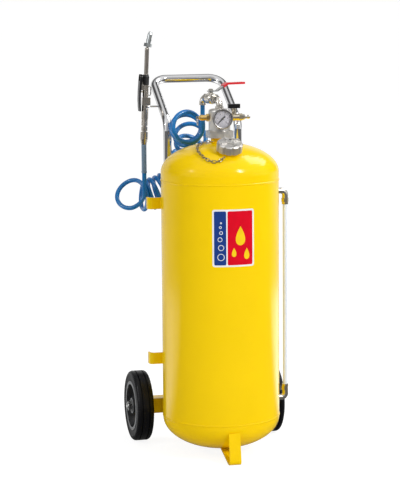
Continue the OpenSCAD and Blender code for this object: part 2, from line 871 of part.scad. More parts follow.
module air_tap_body() {
    color("#c9c5bb") placed() in_tap() difference() {
        union() {
            translate([0, 0, -port_depth + seat]) cylinder(d = port_d, h = port_depth);
            hexagon(17, 7);
            translate([0, 0, 6]) cylinder(d = 18, h = 17);
            translate([0, 0, 22]) hexagon(16, tap_len - 22);
            translate([0, 0, tap_ball_z]) rotate([0, -90, 0]) cylinder(d = 11, h = tap_lever_h - 3);
        }
        translate([0, 0, -port_depth]) cylinder(d = 6, h = tap_len + 2 * port_depth);
        translate([0, 0, tap_ball_z]) sphere(d = tap_ball_d + 2 * run_gap);
        translate([0, 0, tap_ball_z]) rotate([0, -90, 0])
            cylinder(d = tap_stem_d + 2 * run_gap, h = 2 * tap_lever_h);
        translate([0, 0, tap_len - 9]) cylinder(d = 10 + 2 * run_gap, h = 20);
    }
}

// Drilled ball with the stem that the lever turns
module air_tap_ball() {
    color("#d8d8d8") placed() in_tap() translate([0, 0, tap_ball_z]) difference() {
        union() {
            sphere(d = tap_ball_d);
            rotate([0, -90, 0]) cylinder(d = tap_stem_d, h = tap_lever_h + 4);
        }
        translate([0, 0, -tap_ball_d]) cylinder(d = 5, h = 2 * tap_ball_d);
    }
}

// Cross bar centred on the stem
module air_tap_lever() {
    bar_len = 31;
    bar_w = 11;
    bar_h = 11;
    color("#161616") placed() rotate([0, 0, -group_turn])
        translate([block_d / 2 + tap_ball_z, 0, port_z + tap_lever_h - 2]) difference() {
        union() {
            cylinder(d = 14, h = bar_h - 2);
            translate([-bar_len / 2, -bar_w / 2, 0]) cube([bar_len, bar_w, bar_h]);
        }
        translate([0, 0, -cut]) cylinder(d = tap_stem_d + 2 * run_gap, h = bar_h - 1);
    }
}

plug_d = 10;
plug_len = 20;

// Ribbed quick plug for the air line
module air_plug() {
    color("#c9c5bb") placed() in_tap() difference() {
        union() {
            translate([0, 0, tap_len - 9 + seat]) cylinder(d = plug_d, h = 9);
            translate([0, 0, tap_len + seat]) hexagon(13, 5);
            translate([0, 0, tap_len + 5]) cylinder(d = 9, h = 3);
            translate([0, 0, tap_len + 8]) cylinder(d1 = 11.5, d2 = 9, h = 3);
            translate([0, 0, tap_len + 10]) cylinder(d = 7, h = 4);
            translate([0, 0, tap_len + 12.5]) cylinder(d = plug_d, h = plug_len - 14.5);
            translate([0, 0, tap_len + plug_len - 2]) cylinder(d1 = plug_d, d2 = 8, h = 2);
        }
        translate([0, 0, tap_len - 10]) cylinder(d = 5, h = 2 * plug_len);
    }
}

// Outlet valve: elbow on the block, ball valve towards the rear, hose elbow down

outlet_z = block_top_z + 24;
elbow_d = 17;
elbow_r = 15;
elbow_bore = 9;
valve_start = elbow_r + 5;
valve_end = outlet_run - elbow_r - 5;
valve_mid = (valve_start + valve_end) / 2;
hose_barb = 15;
hose_drop = 4;

// Frame with +Z along the outlet run, from the elbow's corner
module in_outlet() {
    translate([0, 0, outlet_z]) rotate([0, 0, outlet_turn]) rotate([-90, 0, 0]) children();
}

module outlet_elbow() {
    rise = outlet_z - elbow_r - block_top_z;
    steps = [[rise, 90, elbow_r, 0], [5, 0, 0, 0]];
    color("#bcb8ae") placed() difference() {
        union() {
            translate([0, 0, block_top_z]) rotate([0, 0, 90 + outlet_turn]) bent(steps) circle(d = elbow_d);
            translate([0, 0, block_top_z - port_depth + seat]) cylinder(d = port_d, h = port_depth);
            translate([0, 0, block_top_z + seat]) hexagon(20, 6);
            in_outlet() translate([0, 0, valve_start - 6]) cylinder(d = 21, h = 6);
        }
        translate([0, 0, block_top_z - port_depth - cut]) cylinder(d = elbow_bore - 1, h = port_depth + 2 * cut);
        translate([0, 0, block_top_z]) rotate([0, 0, 90 + outlet_turn])
            bent([[rise, 90, elbow_r, 0], [5 + cut, 0, 0, 0]]) circle(d = elbow_bore);
    }
}

valve_ball_d = 20;
valve_stem_d = 8;
gland_h = 17;

module outlet_valve_body() {
    color("#c5c1b8") placed() in_outlet() difference() {
        union() {
            translate([0, 0, valve_start + seat]) hexagon(23, 10);
            translate([0, 0, valve_start + 8]) cylinder(d1 = 22, d2 = 28, h = 6);
            translate([0, 0, valve_start + 14]) cylinder(d = 28, h = valve_end - valve_start - 26);
            translate([0, 0, valve_end - 12]) cylinder(d1 = 28, d2 = 22, h = 4);
            translate([0, 0, valve_end - 9 - seat]) hexagon(23, 9);
            translate([0, 0, valve_mid]) rotate([90, 0, 0]) cylinder(d = 13, h = gland_h);
        }
        translate([0, 0, valve_start - cut]) cylinder(d = elbow_bore, h = outlet_run);
        translate([0, 0, valve_mid]) sphere(d = valve_ball_d + 2 * run_gap);
        translate([0, 0, valve_mid]) rotate([90, 0, 0])
            cylinder(d = valve_stem_d + 2 * run_gap, h = 2 * gland_h);
    }
}

lever_low = gland_h + 1;
lever_w = 14;
lever_t = 2.5;
lever_step = 18;
sleeve_run = 62;

// Drilled ball with its stem up to the lever nut
module outlet_valve_ball() {
    color("#d8d8d8") placed() in_outlet() translate([0, 0, valve_mid]) difference() {
        union() {
            along_x() sphere(d = valve_ball_d);
            rotate([90, 0, 0]) cylinder(d = valve_stem_d, h = lever_low + lever_t + 5);
            translate([0, -lever_low - lever_t - seat, 0]) rotate([90, 0, 0]) hexagon(12, 4);
        }
        translate([-valve_ball_d, 0, 0]) along_x() cylinder(d = elbow_bore, h = 2 * valve_ball_d);
    }
}

// Lever frame: +X along the closed lever, +Z up, at the stem
module at_lever() {
    translate([0, 0, outlet_z]) rotate([0, 0, outlet_turn]) translate([0, valve_mid, 0]) children();
}

lever_flat = 18;
lever_ramp = 30;

// Cranked flat bar in its side view, widened by a skin on its faces and past its end
module lever_side(skin) {
    low = lever_low - skin;
    high = lever_low + lever_t + skin;
    end = lever_len + skin;
    linear_extrude(lever_w + 2 * skin, center = true)
        polygon([[0, low], [lever_flat, low], [lever_flat + lever_ramp, low + lever_step], [end, low + lever_step],
            [end, high + lever_step], [lever_flat + lever_ramp - 2, high + lever_step],
            [lever_flat - 2, high], [0, high]]);
}

module lever_bar(skin) {
    rotate([90, 0, 0]) lever_side(skin);
}

// Flat lever with a stop eye round the stem, cranked up to its grip
module outlet_lever() {
    color("#c9c9c9") placed() at_lever() difference() {
        union() {
            translate([0, 0, lever_low]) cylinder(d = 20, h = lever_t);
            lever_bar(0);
        }
        cylinder(d = valve_stem_d + 2 * run_gap, h = 4 * gland_h);
    }
}

// Dipped sleeve over the lever's end
module lever_sleeve() {
    sleeve_t = 1.5;
    color("#d01418") placed() at_lever() difference() {
        intersection() {
            lever_bar(sleeve_t);
            translate([lever_len - sleeve_run, -lever_w, 0]) cube([2 * sleeve_run, 2 * lever_w, 4 * gland_h]);
        }
        lever_bar(run_gap);
    }
}

module hose_elbow() {
    // The bend's tube ends inside the barb's shoulder
    turn_steps = [[5, 90, elbow_r, 0], [hose_drop / 2, 0, 0, 0]];
    end = [-outlet_run * sin(outlet_turn), outlet_run * cos(outlet_turn), outlet_z];
    color("#bcb8ae") placed() difference() {
        union() {
            in_outlet() translate([0, 0, valve_end]) rotate([0, 0, 90]) bent(turn_steps) circle(d = elbow_d);
            in_outlet() translate([0, 0, valve_end]) cylinder(d = 21, h = 5);
            translate([end[0], end[1], hose_top[2]]) cylinder(d = 18, h = outlet_z - elbow_r - hose_top[2]);
        }
        in_outlet() translate([0, 0, valve_end - cut]) rotate([0, 0, 90])
            bent([[5 + cut, 90, elbow_r, 0], [hose_barb, 0, 0, 0]]) circle(d = elbow_bore);
    }
}

// Spiral hose: it drops from the hose elbow, curls behind the tank and rises to the sleeve.
// Each row is a point of the curls' axis and the number of turns reached there.
curl_axis = [[-60, 85, 848, 0], [-60, 116, 848, 1], [-50, 150, 836, 2], [-30, 186, 810, 3],
    [-26, 224, 776, 4], [-30, 256, 738, 5], [-40, 280, 704, 6], [-60, 292, 678, 7], [-80, 295, 665, 8],
    [-98, 295, 658, 9], [-115, 295, 653, 10], [-132, 294, 650, 11], [-171, 278, 655, 11.6],
    [-185, 253, 661, 12.05], [-187, 238, 664, 12.25]];
curl_rings = 12;
hose_sides = 6;
first_phase = 225;
// A direction that the axis never runs along
side_guide = [1, 0, -1] / sqrt(2);
hose_top = [-outlet_run * sin(outlet_turn), outlet_run * cos(outlet_turn), outlet_z - elbow_r - hose_drop];

function unit(v) = v / norm(v);

function between(a, b, c, d, t) = 0.5 * (2 * b + (c - a) * t + (2 * a - 5 * b + 4 * c - d) * t * t
    + (3 * b - a - 3 * c + d) * t * t * t);

curl_last = len(curl_axis) - 1;
curl_ghosts = concat([[for (k = [0 : 3]) k < 3 ? curl_axis[1][k] : -curl_axis[1][3]]], curl_axis,
    [[for (k = [0 : 3]) k < 3 ? curl_axis[curl_last - 1][k]
        : 2 * curl_axis[curl_last][3] - curl_axis[curl_last - 1][3]]]);
axis_points = concat([for (i = [0 : curl_last - 1])
    let (count = ceil((curl_axis[i + 1][3] - curl_axis[i][3]) * curl_rings))
    for (j = [0 : count - 1])
        between(curl_ghosts[i], curl_ghosts[i + 1], curl_ghosts[i + 2], curl_ghosts[i + 3], j / count)],
    [curl_axis[curl_last]]);

function place(p) = [p[0], p[1], p[2]];

curl_points = [for (i = [0 : len(axis_points) - 1])
    let (ahead = place(axis_points[min(i + 1, len(axis_points) - 1)]),
        behind = place(axis_points[max(i - 1, 0)]),
        along = unit(ahead - behind),
        side = unit(cross(along, side_guide)),
        across = cross(along, side),
        turn = first_phase + 360 * axis_points[i][3])
    place(axis_points[i]) + curl_r * (cos(turn) * side + sin(turn) * across)];

hose_points = concat([hose_top, hose_top - [0, 0, 14], hose_top - [0, 0, 34]], curl_points,
    [sleeve_low - [0, 0, 30], sleeve_low - [0, 0, 14], sleeve_low]);

// One ring of the hose across the route at a point
function hose_ring(i) =
    let (last = len(hose_points) - 1,
        along = i < 2 ? [0, 0, -1] : i > last - 2 ? [0, 0, 1]
            : unit(hose_points[i + 1] - hose_points[i - 1]),
        side = unit(cross(along, side_guide)),
        across = cross(along, side))
    [for (k = [0 : hose_sides - 1]) hose_points[i]
        + hose_d / 2 * (cos(360 / hose_sides * k) * side + sin(360 / hose_sides * k) * across)];

// Least distance between parts of the hose that are at least half a turn apart, less its diameter
hose_gap = min([for (i = [0 : len(hose_points) - 1]) for (j = [i + curl_rings / 2 : len(hose_points) - 1])
    norm(hose_points[i] - hose_points[j])]) - hose_d;
hose_length = [for (i = 1, total = 0; i <= len(hose_points); total = i < len(hose_points)
    ? total + norm(hose_points[i] - hose_points[i - 1]) : total, i = i + 1) total];

module spiral_hose() {
    rings = len(hose_points);
    points = [for (i = [0 : rings - 1]) each hose_ring(i)];
    walls = [for (i = [0 : rings - 2]) for (k = [0 : hose_sides - 1])
        let (a = i * hose_sides + k, b = i * hose_sides + (k + 1) % hose_sides)
        each [[a, b, b + hose_sides], [a, b + hose_sides, a + hose_sides]]];
    start = [for (k = [1 : hose_sides - 2]) [0, k + 1, k]];
    end = [for (k = [1 : hose_sides - 2]) [0, k, k + 1] + (rings - 1) * hose_sides * [1, 1, 1]];
    echo(hose_gap = hose_gap, hose_length = hose_length[len(hose_length) - 1]);
    color("#1565b5") placed() polyhedron(points, concat(walls, start, end));
}

// Level gauge on the right side

nut_len = 16;
level_nut_d = 17;
level_elbow_r = 11;

module level_elbow(up) {
    in = 12;
    out = 8;
    reach = level_gap + in - level_elbow_r;
    translate([tank_r - in, 0, 0]) rotate([0, 90, 0]) rotate([0, 0, up ? 180 : 0])
        difference() {
            bent([[reach, 90, level_elbow_r, 0], [out, 0, 0, 0]]) circle(d = level_stub_d);
            translate([0, 0, -cut]) bent([[reach + cut, 90, level_elbow_r, 0], [out + cut, 0, 0, 0]]) circle(d = 7);
        }
}

level_end = level_elbow_r + 8;

module level_fittings() {
    color("#c2beb4") placed() {
        translate([0, 0, level_top_z]) level_elbow(false);
        translate([0, 0, level_low_z]) level_elbow(true);
    }
}

module level_nut() {
    ring(level_nut_d, level_d + 2 * run_gap, nut_len, $fn = 64);
    difference() {
        hexagon(level_nut_d, nut_len - 6);
        translate([0, 0, -cut]) cylinder(d = level_nut_d - 1, h = nut_len);
    }
}

module level_nuts() {
    color("#c08a3e") placed() translate([level_x, 0, 0]) {
        translate([0, 0, level_top_z - level_end - seat]) mirror([0, 0, 1]) level_nut();
        translate([0, 0, level_low_z + level_end + seat]) level_nut();
    }
}

module level_tube() {
    low = level_low_z + level_end + 2 * seat;
    color("#f2efe4") placed() translate([level_x, 0, low])
        ring(level_d, level_d - 3, level_top_z - level_end - 2 * seat - low);
}

// Filler cap, its seal and chain

cap_h = 26;
cap_skirt = 14;
cap_lobes = 10;
lobe_r = 5;
seal_t = 3;
cap_seat_z = filler_neck_h;

// Sealing disc that lifts with the cap without turning, with a stud that the cap turns on
module cap_seal() {
    color("#2a2a2a") placed() on_filler() {
        translate([0, 0, cap_seat_z + seat]) cylinder(d = filler_neck_d - 2, h = seal_t);
        translate([0, 0, cap_seat_z + seal_t]) cylinder(d = 8, h = cap_h - cap_skirt);
    }
}

// Cast cap with hollows round its rim and cross ribs on top
module filler_cap() {
    rib_w = 7;
    rib_h = 5;
    roof = cap_h - rib_h;
    color("#b4b5b3") placed() on_filler() translate([0, 0, cap_seat_z - cap_skirt]) difference() {
        union() {
            cylinder(d = cap_d, h = roof - 3);
            translate([0, 0, roof - 3]) cylinder(d1 = cap_d, d2 = cap_d - 6, h = 3);
            for (turn = [0, 90])
                rotate([0, 0, turn + 20]) translate([-cap_d / 2 + 6, -rib_w / 2, roof - cut])
                    cube([cap_d - 12, rib_w, rib_h + cut]);
            translate([0, 0, roof - cut]) cylinder(d = 22, h = rib_h + cut - 1);
        }
        for (i = [0 : cap_lobes - 1])
            rotate([0, 0, 360 / cap_lobes * (i + 0.5)]) translate([cap_d / 2 + lobe_r * 0.55, 0, -cut])
                cylinder(r = lobe_r, h = cap_h);
        translate([0, 0, -cut]) cylinder(d = filler_neck_d + 2 * seat, h = cap_skirt + seal_t + 2 * seat + cut);
        cylinder(d = 8 + 2 * run_gap, h = cap_skirt + seal_t + cap_h - cap_skirt + seat);
    }
}

// Chain from the outlet neck down over the dome and back up to the cap's left side
chain_pitch = chain_link - 0.7;
link_w = 8.6;
chain_x = -38;
chain_a = 37;
chain_from = 65.5;
chain_start_y = -20.52225;
// Room between the chain's lowest point and the tank's wall, and between its end and the cap
chain_rim_gap = 21.2;
chain_cap_gap = 1;
chain_low_y = chain_rim_gap - tank_d / 2;
chain_b = (chain_start_y - chain_low_y) / (1 + sin(chain_from));
chain_centre = [chain_x, chain_low_y + chain_b];

// Point of the chain's line at an angle round its loop
function chain_point(turn) =
    let (x = chain_centre[0] + chain_a * cos(turn), y = chain_centre[1] + chain_b * sin(turn))
    [x, y, dome_at(norm([x, y])) + chain_lift];

// The angle, past a given one, at which the chain's line is one pitch away
function chain_next(turn, high, low, tries) =
    let (half = (high + low) / 2)
    tries == 0 ? half
    : norm(chain_point(half) - chain_point(turn)) > chain_pitch ? chain_next(turn, half, low, tries - 1)
    : chain_next(turn, high, half, tries - 1);

function chain_off_cap(turn) =
    let (p = chain_point(turn))
    norm([p[0], p[1] + filler_y]) > cap_d / 2 + chain_cap_gap;

chain_turns = [for (turn = chain_from; turn <= 360 && chain_off_cap(turn);
    turn = chain_next(turn, turn + 60, turn, 16)) turn];

// Oval link along +X
module link() {
    bend_r = (link_w - chain_wire) / 2;
    straight = chain_link + chain_wire - 2 * bend_r;
    for (s = [-1, 1]) {
        translate([s * straight / 2, 0, 0]) rotate([0, 0, -90 * s]) rotate_extrude(angle = 180)
            translate([bend_r, 0]) circle(d = chain_wire, $fn = 16);
        translate([-straight / 2, s * bend_r, 0]) along_x() cylinder(d = chain_wire, h = straight, $fn = 16);
    }
}

module cap_chain() {
    color("#8d8674") placed() for (i = [0 : len(chain_turns) - 2]) {
        a = chain_point(chain_turns[i]);
        b = chain_point(chain_turns[i + 1]);
        way = b - a;
        translate((a + b) / 2) rotate([0, -asin(way[2] / norm(way)), atan2(way[1], way[0])])
            rotate([i % 2 == 0 ? 0 : 90, 0, 0]) link();
    }
}

tank_shell();
top_head();
bottom_head();
outlet_neck();
filler_neck();
dip_tube();
dip_strainer();
front_foot();
upper_hose_hook();
lower_hose_hook();
axle_beam();
axle_gussets();
axle();
handle();
handle_brackets();
gun_holder();
left_tyre();
left_rim();
left_bush();
right_tyre();
right_rim();
right_bush();
axle_washers();
axle_nuts();
neck_gasket();
collar_nut();
valve_block();
gauge_case();
gauge_bezel();
gauge_dial();
gauge_needle();
gauge_lens();
relief_body();
relief_stem();
relief_ring();
air_tap_body();
air_tap_ball();
air_tap_lever();
air_plug();
outlet_elbow();
outlet_valve_body();
outlet_valve_ball();
outlet_lever();
lever_sleeve();
hose_elbow();
spiral_hose();
hose_sleeve();
level_fittings();
level_nuts();
level_tube();
cap_seal();
filler_cap();
cap_chain();
gun_body();
gun_guard();
gun_trigger();
trigger_pin();
valve_pin();
gun_lance();
gun_nozzle();
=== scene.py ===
"""Studio scene of a wheeled pressure sprayer cart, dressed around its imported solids."""
import math

import bmesh
import bpy
from bpy.props import FloatProperty, FloatVectorProperty, IntProperty, PointerProperty
from mathutils import Matrix, Quaternion, Vector


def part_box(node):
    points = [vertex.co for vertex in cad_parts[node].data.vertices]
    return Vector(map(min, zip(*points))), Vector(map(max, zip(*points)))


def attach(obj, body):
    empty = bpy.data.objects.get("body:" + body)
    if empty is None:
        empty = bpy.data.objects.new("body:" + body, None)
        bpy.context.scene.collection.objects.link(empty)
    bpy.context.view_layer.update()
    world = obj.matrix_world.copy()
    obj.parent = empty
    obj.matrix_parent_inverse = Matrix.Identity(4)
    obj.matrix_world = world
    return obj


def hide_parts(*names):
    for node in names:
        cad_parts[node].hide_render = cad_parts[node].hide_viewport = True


bl_info = {
    "name": "Sprayer cart",
    "version": (1, 0, 0),
    "blender": (4, 5, 0),
    "location": "3D View > Sidebar > Sprayer",
    "description": "Builds the looks of a wheeled pressure sprayer cart and its studio",
    "category": "Object",
}

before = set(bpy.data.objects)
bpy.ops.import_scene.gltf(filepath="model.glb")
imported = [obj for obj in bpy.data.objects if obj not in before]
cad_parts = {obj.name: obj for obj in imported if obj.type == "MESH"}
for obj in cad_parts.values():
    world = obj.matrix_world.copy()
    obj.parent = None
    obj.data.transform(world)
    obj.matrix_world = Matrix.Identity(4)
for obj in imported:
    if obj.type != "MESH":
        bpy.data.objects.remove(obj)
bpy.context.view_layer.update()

MM = 0.001
IMAGE_W, IMAGE_H = 400, 495
SENSOR = 36.0

# Places that the frame gives
SHELL_LOW, SHELL_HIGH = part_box("tank_shell")
TANK_X = (SHELL_LOW.x + SHELL_HIGH.x) / 2
TANK_Y = (SHELL_LOW.y + SHELL_HIGH.y) / 2
TANK_R = (SHELL_HIGH.x - SHELL_LOW.x) / 2
SEAM_LOW, SEAM_HIGH = SHELL_LOW.z, SHELL_HIGH.z
TANK_AXIS = Vector((TANK_X, TANK_Y, 0))
DOME_Z = SEAM_HIGH + 23 * MM


def colour_property(name, description, default):
    return FloatVectorProperty(name=name, description=description, default=default, size=3,
                               subtype="COLOR", min=0, max=1)


def length_property(name, description, default):
    return FloatProperty(name=name, description=description, default=default, unit="LENGTH")


class SprayerSizes(bpy.types.PropertyGroup):
    """Sizes of the pieces that are made here"""
    hose_diameter: length_property("Hose", "Outside diameter of the spiral hose", 12 * MM)
    curl_radius: length_property("Curl", "Radius of a curl on the hose's centre line", 39.5 * MM)
    label_width: length_property("Label width", "Width of the label round the tank", 110 * MM)
    label_height: length_property("Label height", "Height of the label", 146 * MM)
    label_z: length_property("Label place", "Height of the label's middle above the floor", 586 * MM)
    bead_radius: length_property("Weld bead", "Radius of a weld fillet", 2.2 * MM)
    tread_ribs: IntProperty(name="Shoulder ribs", description="Ribs round a tyre's shoulder",
                            default=84, min=24, max=160)
    knurl_depth: length_property("Rib depth", "Depth of the ribs on a tyre's shoulder", 0.9 * MM)


class SprayerColours(bpy.types.PropertyGroup):
    """Colours of the finishes"""
    paint: colour_property("Paint", "Gloss paint of the tank", (0.94, 0.625, 0.0))
    chrome: colour_property("Chrome", "Handle tube", (0.80, 0.80, 0.81))
    tyre: colour_property("Tyre", "Tyre rubber", (0.003, 0.003, 0.0042))
    rim: colour_property("Rim", "Moulded rim", (0.035, 0.036, 0.038))
    # The rim edge colour is a painted highlight on the rim's lip and hub
    rim_edge_highlight: colour_property("Rim edge", "Worn edge of the rim", (0.42, 0.43, 0.44))
    hose: colour_property("Hose", "Spiral hose", (0.0, 0.165, 0.48))
    guard: colour_property("Hose guard", "Sleeve under the gun", (0.16, 0.25, 0.36))
    brass: colour_property("Brass", "Relief valve and nuts", (0.90, 0.64, 0.25))
    nickel: colour_property("Nickel", "Plated valves and elbows", (0.78, 0.74, 0.67))
    aluminium: colour_property("Aluminium", "Cast block, nut and cap", (0.80, 0.78, 0.75))
    steel: colour_property("Steel", "Zinc plated steel", (0.58, 0.58, 0.57))
    red: colour_property("Red", "Lever sleeve", (0.66, 0.012, 0.02))
    black: colour_property("Black", "Black plastic", (0.010, 0.010, 0.011))
    level: colour_property("Level tube", "Milky level tube", (0.68, 0.73, 0.80))
    label_red: colour_property("Label red", "Large field of the label", (0.68, 0.0, 0.014))
    label_blue: colour_property("Label blue", "Small field of the label", (0.012, 0.045, 0.23))


def sizes():
    return bpy.context.scene.sprayer_sizes


def colours():
    return bpy.context.scene.sprayer_colours


# Shader expressions

class Socket:
    """An output socket that takes part in Python arithmetic by adding Math nodes"""

    def __init__(self, finish, link):
        self.finish = finish
        self.link = link

    def math(self, operation, first, second=None):
        values = {0: first} if second is None else {0: first, 1: second}
        return self.finish.node("ShaderNodeMath", {"operation": operation}, values)

    def __add__(self, other):
        return self.math("ADD", self, other)

    def __radd__(self, other):
        return self.math("ADD", other, self)

    def __sub__(self, other):
        return self.math("SUBTRACT", self, other)

    def __rsub__(self, other):
        return self.math("SUBTRACT", other, self)

    def __mul__(self, other):
        return self.math("MULTIPLY", self, other)

    def __rmul__(self, other):
        return self.math("MULTIPLY", other, self)

    def __truediv__(self, other):
        return self.math("DIVIDE", self, other)

    def __abs__(self):
        return self.math("ABSOLUTE", self)

    def sine(self):
        return self.math("SINE", self)


class Finish:
    """A node material built from expressions"""

    def __init__(self, name, tree=None):
        if tree is None:
            self.material = bpy.data.materials.new(name)
            self.material.use_nodes = True
            tree = self.material.node_tree
            self.shader = tree.nodes["Principled BSDF"]
        self.tree = tree

    def node(self, kind, settings=None, sockets=None, out=0):
        """Adds a node, sets it up, fills or links its sockets and gives one of its outputs"""
        made = self.tree.nodes.new(kind)
        for key, value in (settings or {}).items():
            if key == "stops":
                ramp = made.color_ramp.elements
                while len(ramp) < len(value):
                    ramp.new(0.5)
                for element, (place, colour) in zip(ramp, value):
                    element.position = place
                    element.color = colour
            else:
                setattr(made, key, value)
        for key, value in (sockets or {}).items():
            self.fill(made.inputs[key], value)
        return Socket(self, made.outputs[out])

    def fill(self, target, value):
        if isinstance(value, Socket):
            self.tree.links.new(value.link, target)
        elif hasattr(value, "__len__") and len(value) == 3 and len(target.default_value) == 4:
            target.default_value = (*value, 1)
        else:
            target.default_value = value

    def set(self, **values):
        """Fills the surface shader's sockets by name, with spaces written as underscores"""
        for key, value in values.items():
            self.fill(self.shader.inputs[key.replace("_", " ")], value)
        return self

    def place(self):
        return self.node("ShaderNodeTexCoord", out=3)

    def xyz(self):
        parts = self.tree.nodes.new("ShaderNodeSeparateXYZ")
        self.fill(parts.inputs[0], self.place())
        return [Socket(self, parts.outputs[i]) for i in range(3)]

    def noise(self, scale, detail=3.0, stretch=(1, 1, 1)):
        place = self.node("ShaderNodeMapping", None, {"Vector": self.place(), "Scale": stretch})
        return self.node("ShaderNodeTexNoise", None, {"Vector": place, "Scale": scale, "Detail": detail})

    def mix(self, factor, first, second):
        return self.node("ShaderNodeMix", {"data_type": "RGBA"}, {0: factor, 6: first, 7: second}, out=2)

    def band(self, value, middle, half, soft):
        """One inside a band of a value, falling to zero over a soft edge"""
        edge = (half - abs(value - middle)) / soft + 0.5
        return self.node("ShaderNodeClamp", None, {"Value": edge})

    def bump(self, height, distance, strength=1.0):
        normal = self.node("ShaderNodeBump", None,
                           {"Height": height, "Distance": distance, "Strength": strength})
        return self.set(Normal=normal)


def shade(colour, amount):
    return tuple(min(1.0, part * amount) for part in colour)


def paint_finish():
    """Thick yellow gloss with orange peel and a ripple along the weld beads"""
    made = Finish("yellow_paint")
    x, y, z = made.xyz()
    angle = made.node("ShaderNodeMath", {"operation": "ARCTAN2"}, {0: y - TANK_Y, 1: x})
    weld = made.band(z, SEAM_LOW - 2.5 * MM, 3.5 * MM, 1 * MM) + made.band(z, SEAM_HIGH + 2.5 * MM, 3.5 * MM, 1 * MM)
    ripple = (angle * 260).sine() * weld
    drift = made.noise(7, 2)
    paint = tuple(colours().paint)
    made.set(Base_Color=made.mix(drift, shade(paint, 0.95), shade(paint, 1.03)),
             Roughness=0.15 + made.noise(60) * 0.06, Coat_Weight=0.12, Coat_Roughness=0.05, IOR=1.45,
             Specular_IOR_Level=0.2)
    return made.bump(made.noise(420, 2) * 0.05 + ripple * 0.6, 0.5 * MM, 0.35)


def metal_finish(name, colour, rough, grain=(1, 1, 1), scale=260, dent=0.1, metallic=1.0):
    """Metal with fine marks that run along the grain"""
    made = Finish(name)
    marks = made.noise(scale, 4, grain)
    tone = made.noise(24, 2)
    made.set(Base_Color=made.mix(tone, shade(colour, 0.88), shade(colour, 1.06)),
             Roughness=rough * (0.7 + marks * 0.6), Metallic=metallic)
    return made.bump(marks, dent * MM, 0.25)


def cast_finish(name, colour):
    """Sand cast aluminium with a turned skin and darker hollows"""
    made = Finish(name)
    pits = made.node("ShaderNodeTexVoronoi", None, {"Vector": made.place(), "Scale": 700})
    tone = made.noise(90, 4)
    made.set(Base_Color=made.mix(tone, shade(colour, 0.72), shade(colour, 1.08)),
             Roughness=0.30 + tone * 0.22, Metallic=0.92)
    return made.bump(pits * 0.5 + tone, 0.25 * MM, 0.45)


def plastic_finish(name, colour, rough, coat=0.0, fine=900, depth=0.08, gloss=0.5):
    made = Finish(name)
    grain = made.noise(fine, 2)
    tone = made.noise(40, 2)
    made.set(Base_Color=made.mix(tone, shade(colour, 0.85), shade(colour, 1.15)),
             Roughness=rough + (grain - 0.5) * 0.12, Coat_Weight=coat, Coat_Roughness=0.1,
             Specular_IOR_Level=gloss)
    return made.bump(grain, depth * MM, 0.3)


def chrome_finish():
    made = Finish("handle_chrome")
    haze = made.noise(30, 3)
    scratch = made.noise(500, 2, (1, 1, 0.04))
    made.set(Base_Color=made.mix(haze, shade(colours().chrome, 0.94), tuple(colours().chrome)),
             Roughness=0.05 + scratch * 0.07, Metallic=1.0)
    return made.bump(scratch, 0.02 * MM, 0.2)


def hose_finish():
    """Blue nylon, a little clear, with drawing marks"""
    made = Finish("hose_blue")
    marks = made.noise(240, 3)
    hose = tuple(colours().hose)
    made.set(Base_Color=made.mix(marks, shade(hose, 0.7), shade(hose, 1.25)),
             Roughness=0.20 + marks * 0.12, Coat_Weight=0.15, Coat_Roughness=0.08)
    return made.bump(marks, 0.08 * MM, 0.25)


def guard_finish():
    """Ribbed sleeve round the hose under the gun"""
    made = Finish("sleeve_blue_grey")
    z = made.xyz()[2]
    ribs = (z * (2 * math.pi / (3.2 * MM))).sine()
    guard = tuple(colours().guard)
    # The colour follows the ribs: painted shade in the grooves and painted highlight on the crests
    made.set(Base_Color=made.mix(ribs * 0.5 + 0.5, shade(guard, 0.75), shade(guard, 1.2)), Roughness=0.42)
    return made.bump(ribs, 0.3 * MM, 0.5)


def tyre_finish():
    made = Finish("tyre_black")
    grain = made.noise(700, 3)
    dust = made.noise(30, 4)
    tyre = tuple(colours().tyre)
    made.set(Base_Color=made.mix(dust, tyre, shade(tyre, 1.6)), Roughness=0.34 + grain * 0.16,
             Specular_IOR_Level=0.12, Coat_Weight=0.22, Coat_Roughness=0.14)
    return made.bump(grain, 0.2 * MM, 0.4)


def rim_finish(centre_x):
    """Dark moulded rim with painted highlights on its lip and hub"""
    made = Finish("rim_grey_left" if centre_x < 0 else "rim_grey_right")
    low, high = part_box("left_rim" if centre_x < 0 else "right_rim")
    middle = (low + high) / 2
    x, y, z = made.xyz()
    radius = made.node("ShaderNodeVectorMath", {"operation": "LENGTH"},
                       {0: made.node("ShaderNodeCombineXYZ", None, {1: y - middle.y, 2: z - middle.z})}, out=1)
    outer = (high.z - low.z) / 2
    lip = made.band(radius, outer - 2.5 * MM, 5 * MM, 1 * MM)
    hub = made.band(radius, 20 * MM, 3 * MM, 1 * MM)
    face = made.band(abs(x - centre_x), (high.x - low.x) / 2, 2 * MM, 1 * MM)
    grain = made.noise(500, 3)
    # The pale rings at the lip and hub are painted highlights on the rim's faces
    pale = (lip * 0.6 + hub) * face * (0.75 + 0.4 * grain)
    made.set(Base_Color=made.mix(pale, tuple(colours().rim), tuple(colours().rim_edge_highlight)),
             Roughness=0.34 + grain * 0.14)
    return made.bump(grain, 0.15 * MM, 0.3)


def level_finish():
    made = Finish("tube_white")
    tone = made.noise(35, 3, (1, 1, 0.2))
    level = tuple(colours().level)
    made.set(Base_Color=made.mix(tone, shade(level, 0.92), shade(level, 1.08)), Roughness=0.55 + tone * 0.1,
             Specular_IOR_Level=0.2)
    # The faint bluish emission is painted light: the tube glows a little so it reads white beside the yellow tank
    made.set(Subsurface_Weight=0.1, Subsurface_Radius=(0.004, 0.004, 0.003),
             Emission_Color=(0.74, 0.84, 1.0), Emission_Strength=0.1)
    return made.bump(tone, 0.05 * MM, 0.2)


